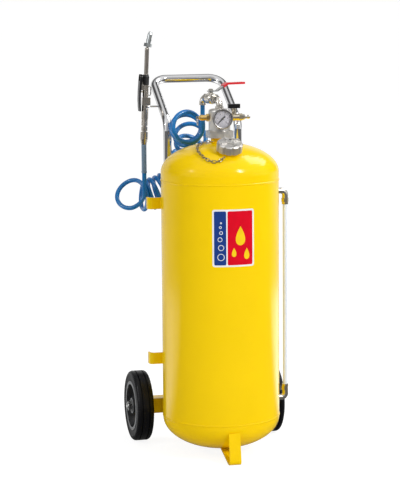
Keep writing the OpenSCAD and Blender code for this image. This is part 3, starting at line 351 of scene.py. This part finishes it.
def lance_finish():
    """Dark tube with a black union nut at its foot"""
    made = Finish("lance_steel")
    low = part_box("gun_lance")[0]
    z = made.xyz()[2]
    nut = made.node("ShaderNodeClamp", None, {"Value": (low.z + 29 * MM - z) / (0.5 * MM)})
    marks = made.noise(300, 3, (1, 1, 0.1))
    black = tuple(colours().black)
    tube = made.mix(marks, (0.30, 0.27, 0.235), (0.50, 0.46, 0.42))
    made.set(Base_Color=made.mix(nut, tube, black), Metallic=1 - nut * 0.95,
             Roughness=0.24 + nut * 0.12 + marks * 0.08)
    ribs = (z * (2 * math.pi / (2.4 * MM))).sine() * nut
    return made.bump(marks * 0.2 + ribs, 0.2 * MM, 0.4)


def lens_finish():
    made = Finish("lens_clear")
    smear = made.noise(60, 2)
    made.set(Base_Color=(0.98, 0.99, 1.0), Roughness=0.02 + smear * 0.03, IOR=1.45, Alpha=0.04)
    return made


def dress(finish, *nodes):
    """Gives CAD nodes a finish"""
    for name in nodes:
        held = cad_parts[name]
        if not held.material_slots:
            held.data.materials.append(finish.material)
        for slot in held.material_slots:
            slot.material = finish.material


# Mesh pieces

def piece(name, mesh, body, slot, *finishes, smooth=True):
    """Links a mesh as a piece that rides on a body"""
    made = bpy.data.objects.new(name, mesh)
    bpy.context.scene.collection.objects.link(made)
    for finish in finishes:
        mesh.materials.append(finish.material)
    mesh.polygons.foreach_set("use_smooth", [smooth] * len(mesh.polygons))
    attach(made, body)
    return made


def from_bmesh(name, work):
    mesh = bpy.data.meshes.new(name)
    bmesh.ops.recalc_face_normals(work, faces=work.faces)
    work.to_mesh(mesh)
    work.free()
    return mesh


def strip_of_rings(work, rings, closed_ring=True, closed_path=False):
    """Joins rings of points into walls and returns the vertices"""
    made = [[work.verts.new(point) for point in ring] for ring in rings]
    count = len(made[0])
    pairs = list(zip(made, made[1:])) + ([(made[-1], made[0])] if closed_path else [])
    for first, second in pairs:
        for i in range(count if closed_ring else count - 1):
            j = (i + 1) % count
            work.faces.new((first[i], first[j], second[j], second[i]))
    return made


def add_bead(work, points, radius, closed=False, sides=8, step=3 * MM):
    """A rippled weld bead along a line of points"""
    rings = []
    travelled = 0.0
    last = len(points) - 1
    for i, point in enumerate(points):
        ahead = points[(i + 1) % len(points)] if closed or i < last else points[i]
        behind = points[i - 1] if closed or i > 0 else points[i]
        along = (ahead - behind).normalized()
        side = along.cross(Vector((0.3, 0.5, 0.81))).normalized()
        across = along.cross(side)
        travelled += (point - points[i - 1]).length if i else 0
        swell = radius * (1 + 0.13 * math.sin(2 * math.pi * travelled / step))
        if not closed and i in (0, last):
            swell *= 0.55
        rings.append([point + swell * (math.cos(a) * side + math.sin(a) * across)
                      for a in (2 * math.pi * k / sides for k in range(sides))])
    made = strip_of_rings(work, rings, True, closed)
    if not closed:
        work.faces.new(made[0])
        work.faces.new(made[-1])


def line(start, end, step=0.8 * MM):
    count = max(2, int((end - start).length / step))
    return [start.lerp(end, i / count) for i in range(count + 1)]


def dome_at(radius):
    return DOME_Z + (DOME_TOP_FULL - DOME_Z) * math.sqrt(max(0.0, 1 - (radius / TANK_R) ** 2))


DOME_TOP_FULL = DOME_Z + 76 * MM


# Spiral hose: its axis, with the number of turns reached at each point, in tank millimetres
HOSE_AXIS = (
    (-60, 85, 848, 0), (-60, 116, 848, 1), (-50, 150, 836, 2), (-30, 186, 810, 3), (-26, 224, 776, 4),
    (-30, 256, 738, 5), (-40, 280, 704, 6), (-60, 292, 678, 7), (-80, 295, 665, 8), (-98, 295, 658, 9),
    (-115, 295, 653, 10), (-132, 294, 650, 11), (-171, 278, 655, 11.6), (-185, 253, 661, 12.05),
    (-187, 238, 664, 12.25))
HOSE_PHASE = math.radians(225)
HOSE_SIDE = Vector((1, 0, -1)).normalized()
POINTS_PER_TURN = 24


def spline_between(a, b, c, d, t):
    return [0.5 * (2 * q + (r - p) * t + (2 * p - 5 * q + 4 * r - s) * t * t + (3 * q - p - 3 * r + s) * t ** 3)
            for p, q, r, s in zip(a, b, c, d)]


def hose_route(top, low):
    """The hose's centre line from the hose elbow to the sleeve under the gun"""
    rows = HOSE_AXIS
    before = (*rows[1][:3], -rows[1][3])
    after = (*rows[-2][:3], 2 * rows[-1][3] - rows[-2][3])
    rows = (before, *rows, after)
    axis = []
    for i in range(1, len(rows) - 2):
        count = math.ceil((rows[i + 1][3] - rows[i][3]) * POINTS_PER_TURN)
        axis += [spline_between(rows[i - 1], rows[i], rows[i + 1], rows[i + 2], j / count) for j in range(count)]
    axis.append(list(rows[-2]))
    curls = []
    for i, point in enumerate(axis):
        ahead = Vector(axis[min(i + 1, len(axis) - 1)][:3])
        behind = Vector(axis[max(i - 1, 0)][:3])
        along = (ahead - behind).normalized()
        side = along.cross(HOSE_SIDE).normalized()
        across = along.cross(side)
        turn = HOSE_PHASE + 2 * math.pi * point[3]
        curl = math.cos(turn) * side + math.sin(turn) * across
        curls.append(Vector(point[:3]) * MM + TANK_AXIS + sizes().curl_radius * curl)
    down = Vector((0, 0, -MM))
    start = [top, top + 7 * down, top + 14 * down, top + 24 * down, top + 34 * down]
    end = [low + 30 * down, low + 22 * down, low + 14 * down, low + 7 * down, low]
    return start + curls + end


class SPRAYER_OT_hose(bpy.types.Operator):
    """Makes the spiral hose from the hose elbow to the gun"""
    bl_idname = "sprayer.hose"
    bl_label = "Spiral hose"

    def execute(self, context):
        low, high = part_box("hose_elbow")
        hose_low, hose_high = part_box("hose_sleeve")
        run, turn = 87 * MM, math.radians(15.5)
        top = TANK_AXIS + Vector((-run * math.sin(turn), run * math.cos(turn), low.z))
        end = Vector(((hose_low.x + hose_high.x) / 2, (hose_low.y + hose_high.y) / 2, hose_low.z))
        route = hose_route(top, end)
        curve = bpy.data.curves.new("spiral_hose_line", "CURVE")
        curve.dimensions = "3D"
        curve.bevel_depth = sizes().hose_diameter / 2
        curve.bevel_resolution = 5
        curve.use_fill_caps = True
        spline = curve.splines.new("NURBS")
        spline.points.add(len(route) - 1)
        for point, place in zip(spline.points, route):
            point.co = (*place, 1)
        spline.order_u = 4
        spline.use_endpoint_u = True
        spline.resolution_u = 3
        curve.materials.append(hose_finish().material)
        hose = bpy.data.objects.new("spiral_hose_curled", curve)
        context.scene.collection.objects.link(hose)
        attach(hose, "cart")
        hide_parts("spiral_hose")
        length = sum((b - a).length for a, b in zip(route, route[1:]))
        return {"FINISHED"}


LABEL_TURN = math.radians(-1.5)


class SPRAYER_OT_label(bpy.types.Operator):
    """Makes the printed label on the front of the tank"""
    bl_idname = "sprayer.label"
    bl_label = "Label"

    def execute(self, context):
        white = plastic_finish("label_white", (0.84, 0.84, 0.84), 0.34, 0.4)
        red = plastic_finish("label_red", tuple(colours().label_red), 0.32, 0.1, gloss=0.12)
        blue = plastic_finish("label_blue", tuple(colours().label_blue), 0.32, 0.1, gloss=0.12)
        yellow = plastic_finish("label_yellow", (0.93, 0.60, 0.01), 0.32, 0.1, gloss=0.12)
        half_w, half_h = sizes().label_width / 2, sizes().label_height / 2
        margin, gap = 4.5 * MM, 3.5 * MM
        split = -half_w * 0.36
        work = bmesh.new()
        shapes = [(self.rounded(-half_w, -half_h, half_w, half_h, 6 * MM), 0),
                  (self.rounded(-half_w + margin, -half_h + margin, split, half_h - margin, 3.5 * MM), 2),
                  (self.rounded(split + gap, -half_h + margin, half_w - margin, half_h - margin, 3.5 * MM), 1)]
        red_mid = (split + gap + half_w - margin) / 2
        for u, v, r in ((0, 6, 17), (-17, -36, 8), (17, -40, 10)):
            shapes.append((self.drop(red_mid + u * MM, v * MM, r * MM), 3))
        blue_mid = (-half_w + margin + split) / 2
        for v, r in ((-48, 9), (-24, 7.5), (-3, 6), (14, 4.6), (28, 3.4), (39, 2.4)):
            shapes.append((self.circle(blue_mid + math.sin(v) * 2.5 * MM, v * MM, r * MM), 0))
            shapes.append((self.circle(blue_mid + math.sin(v) * 2.5 * MM, v * MM, (r - 1.5) * MM), 2))
        for level, (outline, index) in enumerate(shapes):
            self.lay(work, outline, index, (0.25 + 0.04 * level) * MM)
        piece("front_label", from_bmesh("front_label", work), "cart", "yellow_paint", white, red, blue, yellow)
        return {"FINISHED"}

    @staticmethod
    def rounded(left, low, right, high, radius):
        corners = ((right - radius, high - radius, 0), (left + radius, high - radius, 90),
                   (left + radius, low + radius, 180), (right - radius, low + radius, 270))
        return [(u + radius * math.cos(a), v + radius * math.sin(a))
                for u, v, start in corners for a in (math.radians(start + 15 * k) for k in range(7))]

    @staticmethod
    def circle(u, v, radius):
        return [(u + radius * math.cos(a), v + radius * math.sin(a))
                for a in (2 * math.pi * k / 40 for k in range(40))]

    @staticmethod
    def drop(u, v, radius):
        points = []
        for k in range(48):
            a = 2 * math.pi * (k + 0.5) / 48
            points.append((u - radius * math.sin(a) * math.sin(a / 2) ** 1.2, v + 1.45 * radius * math.cos(a)))
        return points

    @staticmethod
    def lay(work, outline, index, lift):
        """Cuts a flat outline into narrow strips and wraps it round the tank"""
        flat = bmesh.new()
        flat.faces.new([flat.verts.new((u, v, 0)) for u, v in outline])
        left = min(u for u, v in outline)
        right = max(u for u, v in outline)
        cuts = max(1, int((right - left) / (2 * MM)))
        for k in range(1, cuts):
            bmesh.ops.bisect_plane(flat, geom=flat.verts[:] + flat.edges[:] + flat.faces[:],
                                   plane_co=(left + (right - left) * k / cuts, 0, 0), plane_no=(1, 0, 0))
        radius = TANK_R + lift
        places = {}
        for vertex in flat.verts:
            angle = vertex.co.x / TANK_R + LABEL_TURN
            places[vertex] = work.verts.new(TANK_AXIS + Vector((radius * math.sin(angle), -radius * math.cos(angle),
                                                                sizes().label_z + vertex.co.y)))
        for face in flat.faces:
            made = work.faces.new([places[vertex] for vertex in face.verts])
            made.material_index = index
        flat.free()


GAUGE_TURN = math.radians(-5)
GAUGE_BACK = 34 * MM
DIAL_FACE = 14 * MM


def gauge_place():
    """From the gauge's own axes, face along +Z, to the frame"""
    low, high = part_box("gauge_bezel")
    height = (low.z + high.z) / 2
    return (Matrix.Translation(TANK_AXIS) @ Matrix.Rotation(GAUGE_TURN, 4, "Z")
            @ Matrix.Translation((0, -GAUGE_BACK, height)) @ Matrix.Rotation(math.pi / 2, 4, "X"))


class SPRAYER_OT_dial(bpy.types.Operator):
    """Prints the scale on the pressure gauge's dial"""
    bl_idname = "sprayer.dial"
    bl_label = "Gauge scale"

    def execute(self, context):
        ink = plastic_finish("dial_ink", (0.02, 0.02, 0.025), 0.5)
        red = plastic_finish("dial_red", (0.6, 0.02, 0.02), 0.5)
        place = gauge_place()
        work = bmesh.new()
        outer, steps, sweep, start = 20.6 * MM, 50, math.radians(270), math.radians(225)
        for k in range(steps + 1):
            angle = start - sweep * k / steps
            inner = outer - (4.2 if k % 10 == 0 else 3.0 if k % 5 == 0 else 1.8) * MM
            half = (0.32 if k % 10 == 0 else 0.18) * MM
            self.bar(work, place, angle, inner, outer, half, 0)
        for k in range(36):
            angle = start - sweep * k / 36
            self.bar(work, place, angle - sweep / 72, outer - 0.25 * MM, outer, outer * sweep / 72, 1 if k > 27 else 0)
        for k in range(6):
            angle = start - sweep * k / 5
            self.numeral(context, work, place, str(2 * k), 12.6 * MM * math.cos(angle), 12.6 * MM * math.sin(angle))
        piece("gauge_scale", from_bmesh("gauge_scale", work), "cart", "dial_white", ink, red, smooth=False)
        return {"FINISHED"}

    @staticmethod
    def bar(work, place, angle, inner, outer, half, index):
        along = Vector((math.cos(angle), math.sin(angle), 0))
        across = Vector((-math.sin(angle), math.cos(angle), 0))
        lift = Vector((0, 0, DIAL_FACE + 0.06 * MM))
        corners = [inner * along - half * across, outer * along - half * across,
                   outer * along + half * across, inner * along + half * across]
        face = work.faces.new([work.verts.new(place @ (corner + lift)) for corner in corners])
        face.material_index = index

    @staticmethod
    def numeral(context, work, place, text, x, y):
        words = bpy.data.curves.new("numeral", "FONT")
        words.body = text
        words.size = 5 * MM
        words.align_x = "CENTER"
        words.align_y = "CENTER"
        held = bpy.data.objects.new("numeral", words)
        context.scene.collection.objects.link(held)
        context.view_layer.update()
        mesh = bpy.data.meshes.new_from_object(held.evaluated_get(context.evaluated_depsgraph_get()))
        mesh.transform(place @ Matrix.Translation((x, y, DIAL_FACE + 0.06 * MM)))
        work.from_mesh(mesh)
        bpy.data.objects.remove(held)
        bpy.data.curves.remove(words)
        bpy.data.meshes.remove(mesh)


class SPRAYER_OT_needle(bpy.types.Operator):
    """Shapes the gauge's pointer with its broad tail"""
    bl_idname = "sprayer.needle"
    bl_label = "Gauge pointer"

    def execute(self, context):
        place = (gauge_place() @ Matrix.Translation((0, 0, DIAL_FACE + 1 * MM))
                 @ Matrix.Rotation(math.radians(225), 4, "Z"))
        half = [(18.4, 0.6), (6, 1.5), (2.4, 1.6), (1.8, 2.3), (0, 2.9), (-1.8, 2.3), (-2.4, 1.7), (-9, 2.1)]
        outline = half + [(x, -y) for x, y in reversed(half)]
        work = bmesh.new()
        low, high = ([work.verts.new(place @ Vector((x * MM, y * MM, z * MM))) for x, y in outline] for z in (0, 0.8))
        work.faces.new(low)
        work.faces.new(high)
        for k in range(len(outline)):
            work.faces.new((low[k - 1], low[k], high[k], high[k - 1]))
        made = piece("gauge_pointer", from_bmesh("gauge_pointer", work), "pointer", "needle_black",
                     plastic_finish("pointer_black", (0.006, 0.006, 0.007), 0.5), smooth=False)
        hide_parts("gauge_needle")
        return {"FINISHED"}


class SPRAYER_OT_welds(bpy.types.Operator):
    """Lays the weld beads round the necks, hooks and brackets"""
    bl_idname = "sprayer.welds"
    bl_label = "Weld beads"

    def execute(self, context):
        work = bmesh.new()
        radius = sizes().bead_radius
        low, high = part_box("outlet_neck")
        neck = 22.5 * MM
        count = 120
        self.ring(work, neck + 0.3 * MM, count, radius)
        self.filler(work, radius)
        for name in ("upper_hose_hook", "lower_hose_hook"):
            low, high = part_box(name)
            for offset in (-2.6, 2.6):
                y = 50 * MM + offset * MM
                x = -math.sqrt((TANK_R + 0.6 * MM) ** 2 - y ** 2)
                self.upright(work, x, y, low.z + 1.5 * MM, high.z - 1.5 * MM, radius)
        low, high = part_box("handle_brackets")
        for z0, z1 in ((276 * MM, 310 * MM), (640 * MM, 674 * MM)):
            for side in (-1, 1):
                for edge in (-3.2, 3.2):
                    x = side * (96.5 + edge) * MM
                    y = math.sqrt((TANK_R + 0.6 * MM) ** 2 - x ** 2)
                    self.upright(work, x, y, z0 + 1.5 * MM, z1 - 1.5 * MM, radius)
        for side in (-1, 1):
            for edge in (107.8, 113.2):
                x = side * edge * MM
                y = math.sqrt((TANK_R + 0.6 * MM) ** 2 - x ** 2)
                self.upright(work, x, y, 122 * MM, 220 * MM, radius)
        piece("weld_beads", from_bmesh("weld_beads", work), "cart", "yellow_paint", context_finish("paint"))
        return {"FINISHED"}

    @staticmethod
    def upright(work, x, y, low, high, radius):
        start = TANK_AXIS + Vector((x, y, low))
        add_bead(work, line(start, start + Vector((0, 0, high - low))), radius)

    @staticmethod
    def ring(work, reach, count, radius):
        height = dome_at(reach) + 0.5 * MM
        points = [TANK_AXIS + Vector((reach * math.cos(a), reach * math.sin(a), height))
                  for a in (2 * math.pi * k / count for k in range(count))]
        add_bead(work, points, radius, True)

    @staticmethod
    def filler(work, radius):
        """The line where the tilted filler neck comes out of the dome"""
        tilt = math.radians(20)
        base = Vector((0, -95 * MM, dome_at(95 * MM)))
        along = Vector((0, -math.sin(tilt), math.cos(tilt)))
        side = Vector((1, 0, 0))
        across = along.cross(side)
        reach = 25.3 * MM
        points = []
        for k in range(150):
            a = 2 * math.pi * k / 150
            rim = base + reach * (math.cos(a) * side + math.sin(a) * across)
            low, high = -40 * MM, 30 * MM
            for _ in range(40):
                middle = (low + high) / 2
                point = rim + middle * along
                if point.z > dome_at(math.hypot(point.x, point.y)):
                    high = middle
                else:
                    low = middle
            points.append(TANK_AXIS + rim + (low + 0.4 * MM) * along)
        add_bead(work, points, radius * 0.9, True)


FINISHES = {}


def context_finish(name):
    """Each shared finish is made once"""
    makers = {"paint": paint_finish, "tyre": tyre_finish}
    if name not in FINISHES:
        FINISHES[name] = makers[name]()
    return FINISHES[name]


class SPRAYER_OT_tyres(bpy.types.Operator):
    """Makes the moulded tyres with two grooves and ribbed shoulders"""
    bl_idname = "sprayer.tyres"
    bl_label = "Tyres"

    def execute(self, context):
        for side in ("left", "right"):
            node = side + "_tyre"
            low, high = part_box(node)
            middle = (low + high) / 2
            outer = (high.z - low.z) / 2
            half = (high.x - low.x) / 2
            work = bmesh.new()
            profile = self.profile(outer, half)
            count = 4 * sizes().tread_ribs
            rings = []
            for k in range(count):
                a = 2 * math.pi * k / count
                cut = sizes().knurl_depth if k % 4 in (0, 1) else 0.0
                out = Vector((0, math.cos(a), math.sin(a)))
                rings.append([middle + Vector((x, 0, 0)) + (r - cut * ribbed) * out for r, x, ribbed in profile])
            strip_of_rings(work, rings, True, True)
            made = piece(side + "_tyre_ribbed", from_bmesh(node, work), side + "_wheel", "tyre_black",
                         context_finish("tyre"))
            made.modifiers.new("edges", "EDGE_SPLIT").split_angle = math.radians(38)
            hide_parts(node)
        return {"FINISHED"}

    @staticmethod
    def profile(outer, half):
        """Points of the section as radius, place along the axle and how far the ribs cut in"""
        seat, shoulder = 66.4 * MM, 10 * MM
        groove, depth = 1.5 * MM, 4 * MM
        right = [(seat, half - 3.5 * MM, 0), (seat + 1 * MM, half - 2.2 * MM, 0), (seat + 8 * MM, half - 1.6 * MM, 0)]
        right += [(outer - shoulder - 4 * MM, half - 1.2 * MM, 0), (outer - shoulder - 3 * MM, half - 0.2 * MM, 0.2)]
        for k in range(7):
            a = math.radians(2 + 13.5 * k)
            ribbed = 1.0 if 1 <= k <= 4 else 0.25
            right.append((outer - shoulder + shoulder * math.sin(a), half - shoulder + shoulder * math.cos(a), ribbed))
        right += [(outer, 9 * MM + groove, 0), (outer - depth, 9 * MM + groove * 0.7, 0)]
        right += [(outer - depth, 9 * MM - groove * 0.7, 0), (outer, 9 * MM - groove, 0)]
        left = [(r, -x, ribbed) for r, x, ribbed in reversed(right)]
        return right + left


class SPRAYER_OT_finishes(bpy.types.Operator):
    """Gives every solid of the frame its finish"""
    bl_idname = "sprayer.finishes"
    bl_label = "Finishes"

    def execute(self, context):
        tint = colours()
        dress(context_finish("paint"), "tank_shell", "top_head", "bottom_head", "outlet_neck", "filler_neck",
              "front_foot", "upper_hose_hook", "lower_hose_hook", "axle_beam", "axle_gussets", "handle_brackets")
        dress(chrome_finish(), "handle", "gun_holder")
        dress(context_finish("tyre"), "left_tyre", "right_tyre")
        for side, name in ((-1, "left_rim"), (1, "right_rim")):
            low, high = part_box(name)
            dress(rim_finish((low.x + high.x) / 2), name)
        dress(plastic_finish("bush_dark", (0.05, 0.05, 0.05), 0.5), "left_bush", "right_bush", "dip_strainer")
        dress(metal_finish("zinc_steel", tuple(tint.steel), 0.26), "axle", "axle_washers", "axle_nuts", "relief_ring",
              "cap_seal", "outlet_lever", "trigger_pin", "valve_pin", "gun_guard", "dip_tube")
        dress(cast_finish("cast_aluminium", tuple(tint.aluminium)), "collar_nut", "valve_block", "filler_cap")
        dress(metal_finish("gauge_steel", (0.30, 0.29, 0.29), 0.42), "gauge_case", "gauge_bezel")
        dress(plastic_finish("dial_white", (0.52, 0.50, 0.54), 0.5), "gauge_dial")
        dress(plastic_finish("needle_black", (0.01, 0.01, 0.012), 0.4), "gauge_needle")
        dress(lens_finish(), "gauge_lens")
        dress(metal_finish("brass_bright", tuple(tint.brass), 0.22), "relief_body", "relief_stem")
        dress(metal_finish("pale_brass", (0.76, 0.68, 0.52), 0.24), "level_nuts", "air_tap_body")
        dress(metal_finish("nickel", tuple(tint.nickel), 0.22, dent=0.15), "air_tap_ball", "air_plug",
              "outlet_elbow", "outlet_valve_body", "outlet_valve_ball", "hose_elbow", "level_fittings")
        dress(plastic_finish("black_gloss", tuple(tint.black), 0.24, 0.08, gloss=0.2), "air_tap_lever", "gun_trigger")
        dress(plastic_finish("red_sleeve", tuple(tint.red), 0.26, 0.4), "lever_sleeve")
        dress(guard_finish(), "hose_sleeve")
        dress(level_finish(), "level_tube")
        dress(metal_finish("chain_steel", (0.36, 0.32, 0.24), 0.32), "cap_chain")
        dress(metal_finish("gun_metal", (0.64, 0.59, 0.52), 0.17, (1, 1, 0.15)), "gun_body")
        dress(metal_finish("nozzle_metal", (0.70, 0.74, 0.75), 0.24), "gun_nozzle")
        dress(lance_finish(), "gun_lance")
        dress(plastic_finish("seal_rubber", (0.02, 0.02, 0.02), 0.6), "neck_gasket")
        dress(hose_finish(), "spiral_hose")
        return {"FINISHED"}


# Stage

CAMERA_DISTANCE = 5.0
CAMERA_TURN = 0.2564
CAMERA_HEIGHT = 1.2661
CAMERA_PITCH = 0.1439
CAMERA_PAN = -0.0105
CAMERA_ROLL = -0.0078
FOCAL_PIXELS = 1946
# Light of the floor and the air: what the camera sees, what mirrors see in front, and the even light
FLOOR_GLOW = 1.22
FLOOR_SHARE = 0.74
FRONT_GLOW = 0.14
BACK_GLOW = 0.78
SKY_TONE = 0.46
# Bright paper on the floor beside the cart, seen by mirrors only
PAPER_REACH = 2.9
PAPER_GLOW = 2.3


class SPRAYER_OT_stage(bpy.types.Operator):
    """Sets up the camera, the floor, the surroundings and the lamps"""
    bl_idname = "sprayer.stage"
    bl_label = "Studio"

    def execute(self, context):
        scene = context.scene
        scene.view_settings.view_transform = "Standard"
        self.camera(scene)
        self.floor(scene)
        self.world(scene)
        for name, place, size, power, mirrored in (
                ("key_lamp", (1.9, -3.5, 3.0), (0.7, 0.7), 102, True),
                ("left_lamp", (-4.1, -1.2, 2.9), (0.32, 0.32), 36, True),
                ("shoulder_lamp", (2.0, 0.7, 2.9), (1.5, 1.5), 40, True),
                ("top_lamp", (0.2, 0.3, 4.2), (2.6, 2.6), 18, False)):
            self.lamp(scene, name, Vector(place), size, power).visible_glossy = mirrored
        return {"FINISHED"}

    @staticmethod
    def camera(scene):
        data = bpy.data.cameras.new("camera")
        data.sensor_width = SENSOR
        data.lens = FOCAL_PIXELS / max(IMAGE_W, IMAGE_H) * SENSOR
        data.clip_end = 200
        held = bpy.data.objects.new("camera", data)
        held.location = TANK_AXIS + Vector((-CAMERA_DISTANCE * math.sin(CAMERA_TURN),
                                            -CAMERA_DISTANCE * math.cos(CAMERA_TURN), CAMERA_HEIGHT))
        look = Vector((math.sin(CAMERA_TURN + CAMERA_PAN) * math.cos(CAMERA_PITCH),
                       math.cos(CAMERA_TURN + CAMERA_PAN) * math.cos(CAMERA_PITCH), -math.sin(CAMERA_PITCH)))
        level = look.to_track_quat("-Z", "Y")
        held.rotation_euler = (level @ Quaternion((0, 0, 1), CAMERA_ROLL)).to_euler()
        scene.collection.objects.link(held)
        scene.camera = held

    @staticmethod
    def floor(scene):
        work = bmesh.new()
        half, bend, high, back = 30.0, 6.0, 14.0, 24.0
        rings = []
        outline = [(-half, 0.0)] + [(back + bend * math.sin(a), bend - bend * math.cos(a))
                                    for a in (math.pi / 2 * k / 12 for k in range(13))] + [(back + bend, high)]
        for y, z in outline:
            rings.append([Vector((-half, y, z)), Vector((half, y, z))])
        strip_of_rings(work, rings, closed_ring=False)
        mesh = from_bmesh("floor", work)
        made = bpy.data.objects.new("floor", mesh)
        scene.collection.objects.link(made)
        mesh.polygons.foreach_set("use_smooth", [True] * len(mesh.polygons))
        pale = Finish("floor_pale")
        pale.set(Base_Color=(0.86, 0.86, 0.86), Roughness=0.9)
        path = pale.tree.nodes.new("ShaderNodeLightPath")
        camera, glossy, through = (Socket(pale, path.outputs[name])
                                   for name in ("Is Camera Ray", "Is Glossy Ray", "Is Transmission Ray"))
        x, y, z = pale.xyz()
        behind = pale.node("ShaderNodeClamp", None, {"Value": (y - 0.2) / 2.2})
        beside = pale.node("ShaderNodeClamp", None, {"Value": (y - 0.1) / 0.3})
        away = pale.node("ShaderNodeVectorMath", {"operation": "LENGTH"},
                         {0: pale.node("ShaderNodeCombineXYZ", None, {0: x, 1: y - TANK_Y})}, out=1)
        aside = pale.node("ShaderNodeClamp", None, {"Value": (abs(x) / away - 0.5) / 0.35})
        paper = pale.node("ShaderNodeClamp", None, {"Value": (PAPER_REACH - away) / 0.5}) * beside * aside
        mirrored = FRONT_GLOW + (BACK_GLOW - FRONT_GLOW) * behind + PAPER_GLOW * paper
        strength = mirrored + camera * (FLOOR_GLOW - mirrored)
        glow = pale.node("ShaderNodeEmission", None, {"Color": strength, "Strength": 1.0})
        share = pale.node("ShaderNodeMath", {"operation": "MAXIMUM"}, {0: camera * FLOOR_SHARE, 1: glossy})
        share = pale.node("ShaderNodeMath", {"operation": "MAXIMUM"}, {0: share, 1: through})
        mixed = pale.node("ShaderNodeMixShader", None, {0: share, 1: Socket(pale, pale.shader.outputs[0]), 2: glow})
        pale.fill(pale.tree.nodes["Material Output"].inputs["Surface"], mixed)
        mesh.materials.append(pale.material)

    @staticmethod
    def world(scene):
        world = bpy.data.worlds.new("studio")
        world.use_nodes = True
        scene.world = world
        air = Finish("studio", world.node_tree)
        direction = air.node("ShaderNodeTexCoord", out=0)
        y, z = (air.node("ShaderNodeSeparateXYZ", None, {0: direction}, out=side) for side in (1, 2))
        grey = [(0.0, 0.42), (0.12, 0.48), (0.26, 0.95), (0.48, 0.85), (0.6, 0.14), (0.86, 0.08), (0.93, 0.8)]
        level = air.node("ShaderNodeValToRGB", {"stops": [(place, (tone, tone, tone, 1)) for place, tone in grey]},
                         {"Fac": y * 0.5 + 0.5})
        above = air.node("ShaderNodeClamp", None, {"Value": (z - 0.82) / 0.1})
        level = air.mix(above, level, (0.8, 0.8, 0.8))
        path = world.node_tree.nodes.new("ShaderNodeLightPath")
        camera, glossy = (Socket(air, path.outputs[name]) for name in ("Is Camera Ray", "Is Glossy Ray"))
        shown = air.mix(glossy, (SKY_TONE, SKY_TONE, SKY_TONE), level)
        shown = air.mix(camera, shown, (1, 1, 1))
        back = world.node_tree.nodes["Background"]
        air.fill(back.inputs["Color"], shown)
        back.inputs["Strength"].default_value = 1.0

    @staticmethod
    def lamp(scene, name, place, size, power):
        data = bpy.data.lights.new(name, "AREA")
        data.shape = "RECTANGLE"
        data.size, data.size_y = size
        data.energy = power
        held = bpy.data.objects.new(name, data)
        held.location = place
        aim = Vector((0, 0, 0.55)) - place
        held.rotation_euler = aim.to_track_quat("-Z", "Y").to_euler()
        scene.collection.objects.link(held)
        return held


class SPRAYER_PT_panel(bpy.types.Panel):
    """Lists the steps that build the cart's looks"""
    bl_idname = "SPRAYER_PT_panel"
    bl_label = "Sprayer cart"
    bl_space_type = "VIEW_3D"
    bl_region_type = "UI"
    bl_category = "Sprayer"

    def draw(self, context):
        for step in STEPS:
            self.layout.operator(step.bl_idname)
        for group in (context.scene.sprayer_sizes, context.scene.sprayer_colours):
            box = self.layout.box()
            for name in group.__annotations__:
                box.prop(group, name)


STEPS = (SPRAYER_OT_stage, SPRAYER_OT_hose, SPRAYER_OT_label, SPRAYER_OT_dial, SPRAYER_OT_needle, SPRAYER_OT_welds,
         SPRAYER_OT_tyres, SPRAYER_OT_finishes)
CLASSES = (SprayerSizes, SprayerColours, *STEPS, SPRAYER_PT_panel)


def register():
    for held in CLASSES:
        bpy.utils.register_class(held)
    bpy.types.Scene.sprayer_sizes = PointerProperty(type=SprayerSizes)
    bpy.types.Scene.sprayer_colours = PointerProperty(type=SprayerColours)


def unregister():
    del bpy.types.Scene.sprayer_colours
    del bpy.types.Scene.sprayer_sizes
    for held in reversed(CLASSES):
        bpy.utils.unregister_class(held)


def main():
    register()
    bpy.ops.sprayer.stage()
    bpy.ops.sprayer.hose()
    bpy.ops.sprayer.label()
    bpy.ops.sprayer.dial()
    bpy.ops.sprayer.needle()
    bpy.ops.sprayer.welds()
    bpy.ops.sprayer.tyres()
    bpy.ops.sprayer.finishes()


if __name__ == "__main__":
    main()
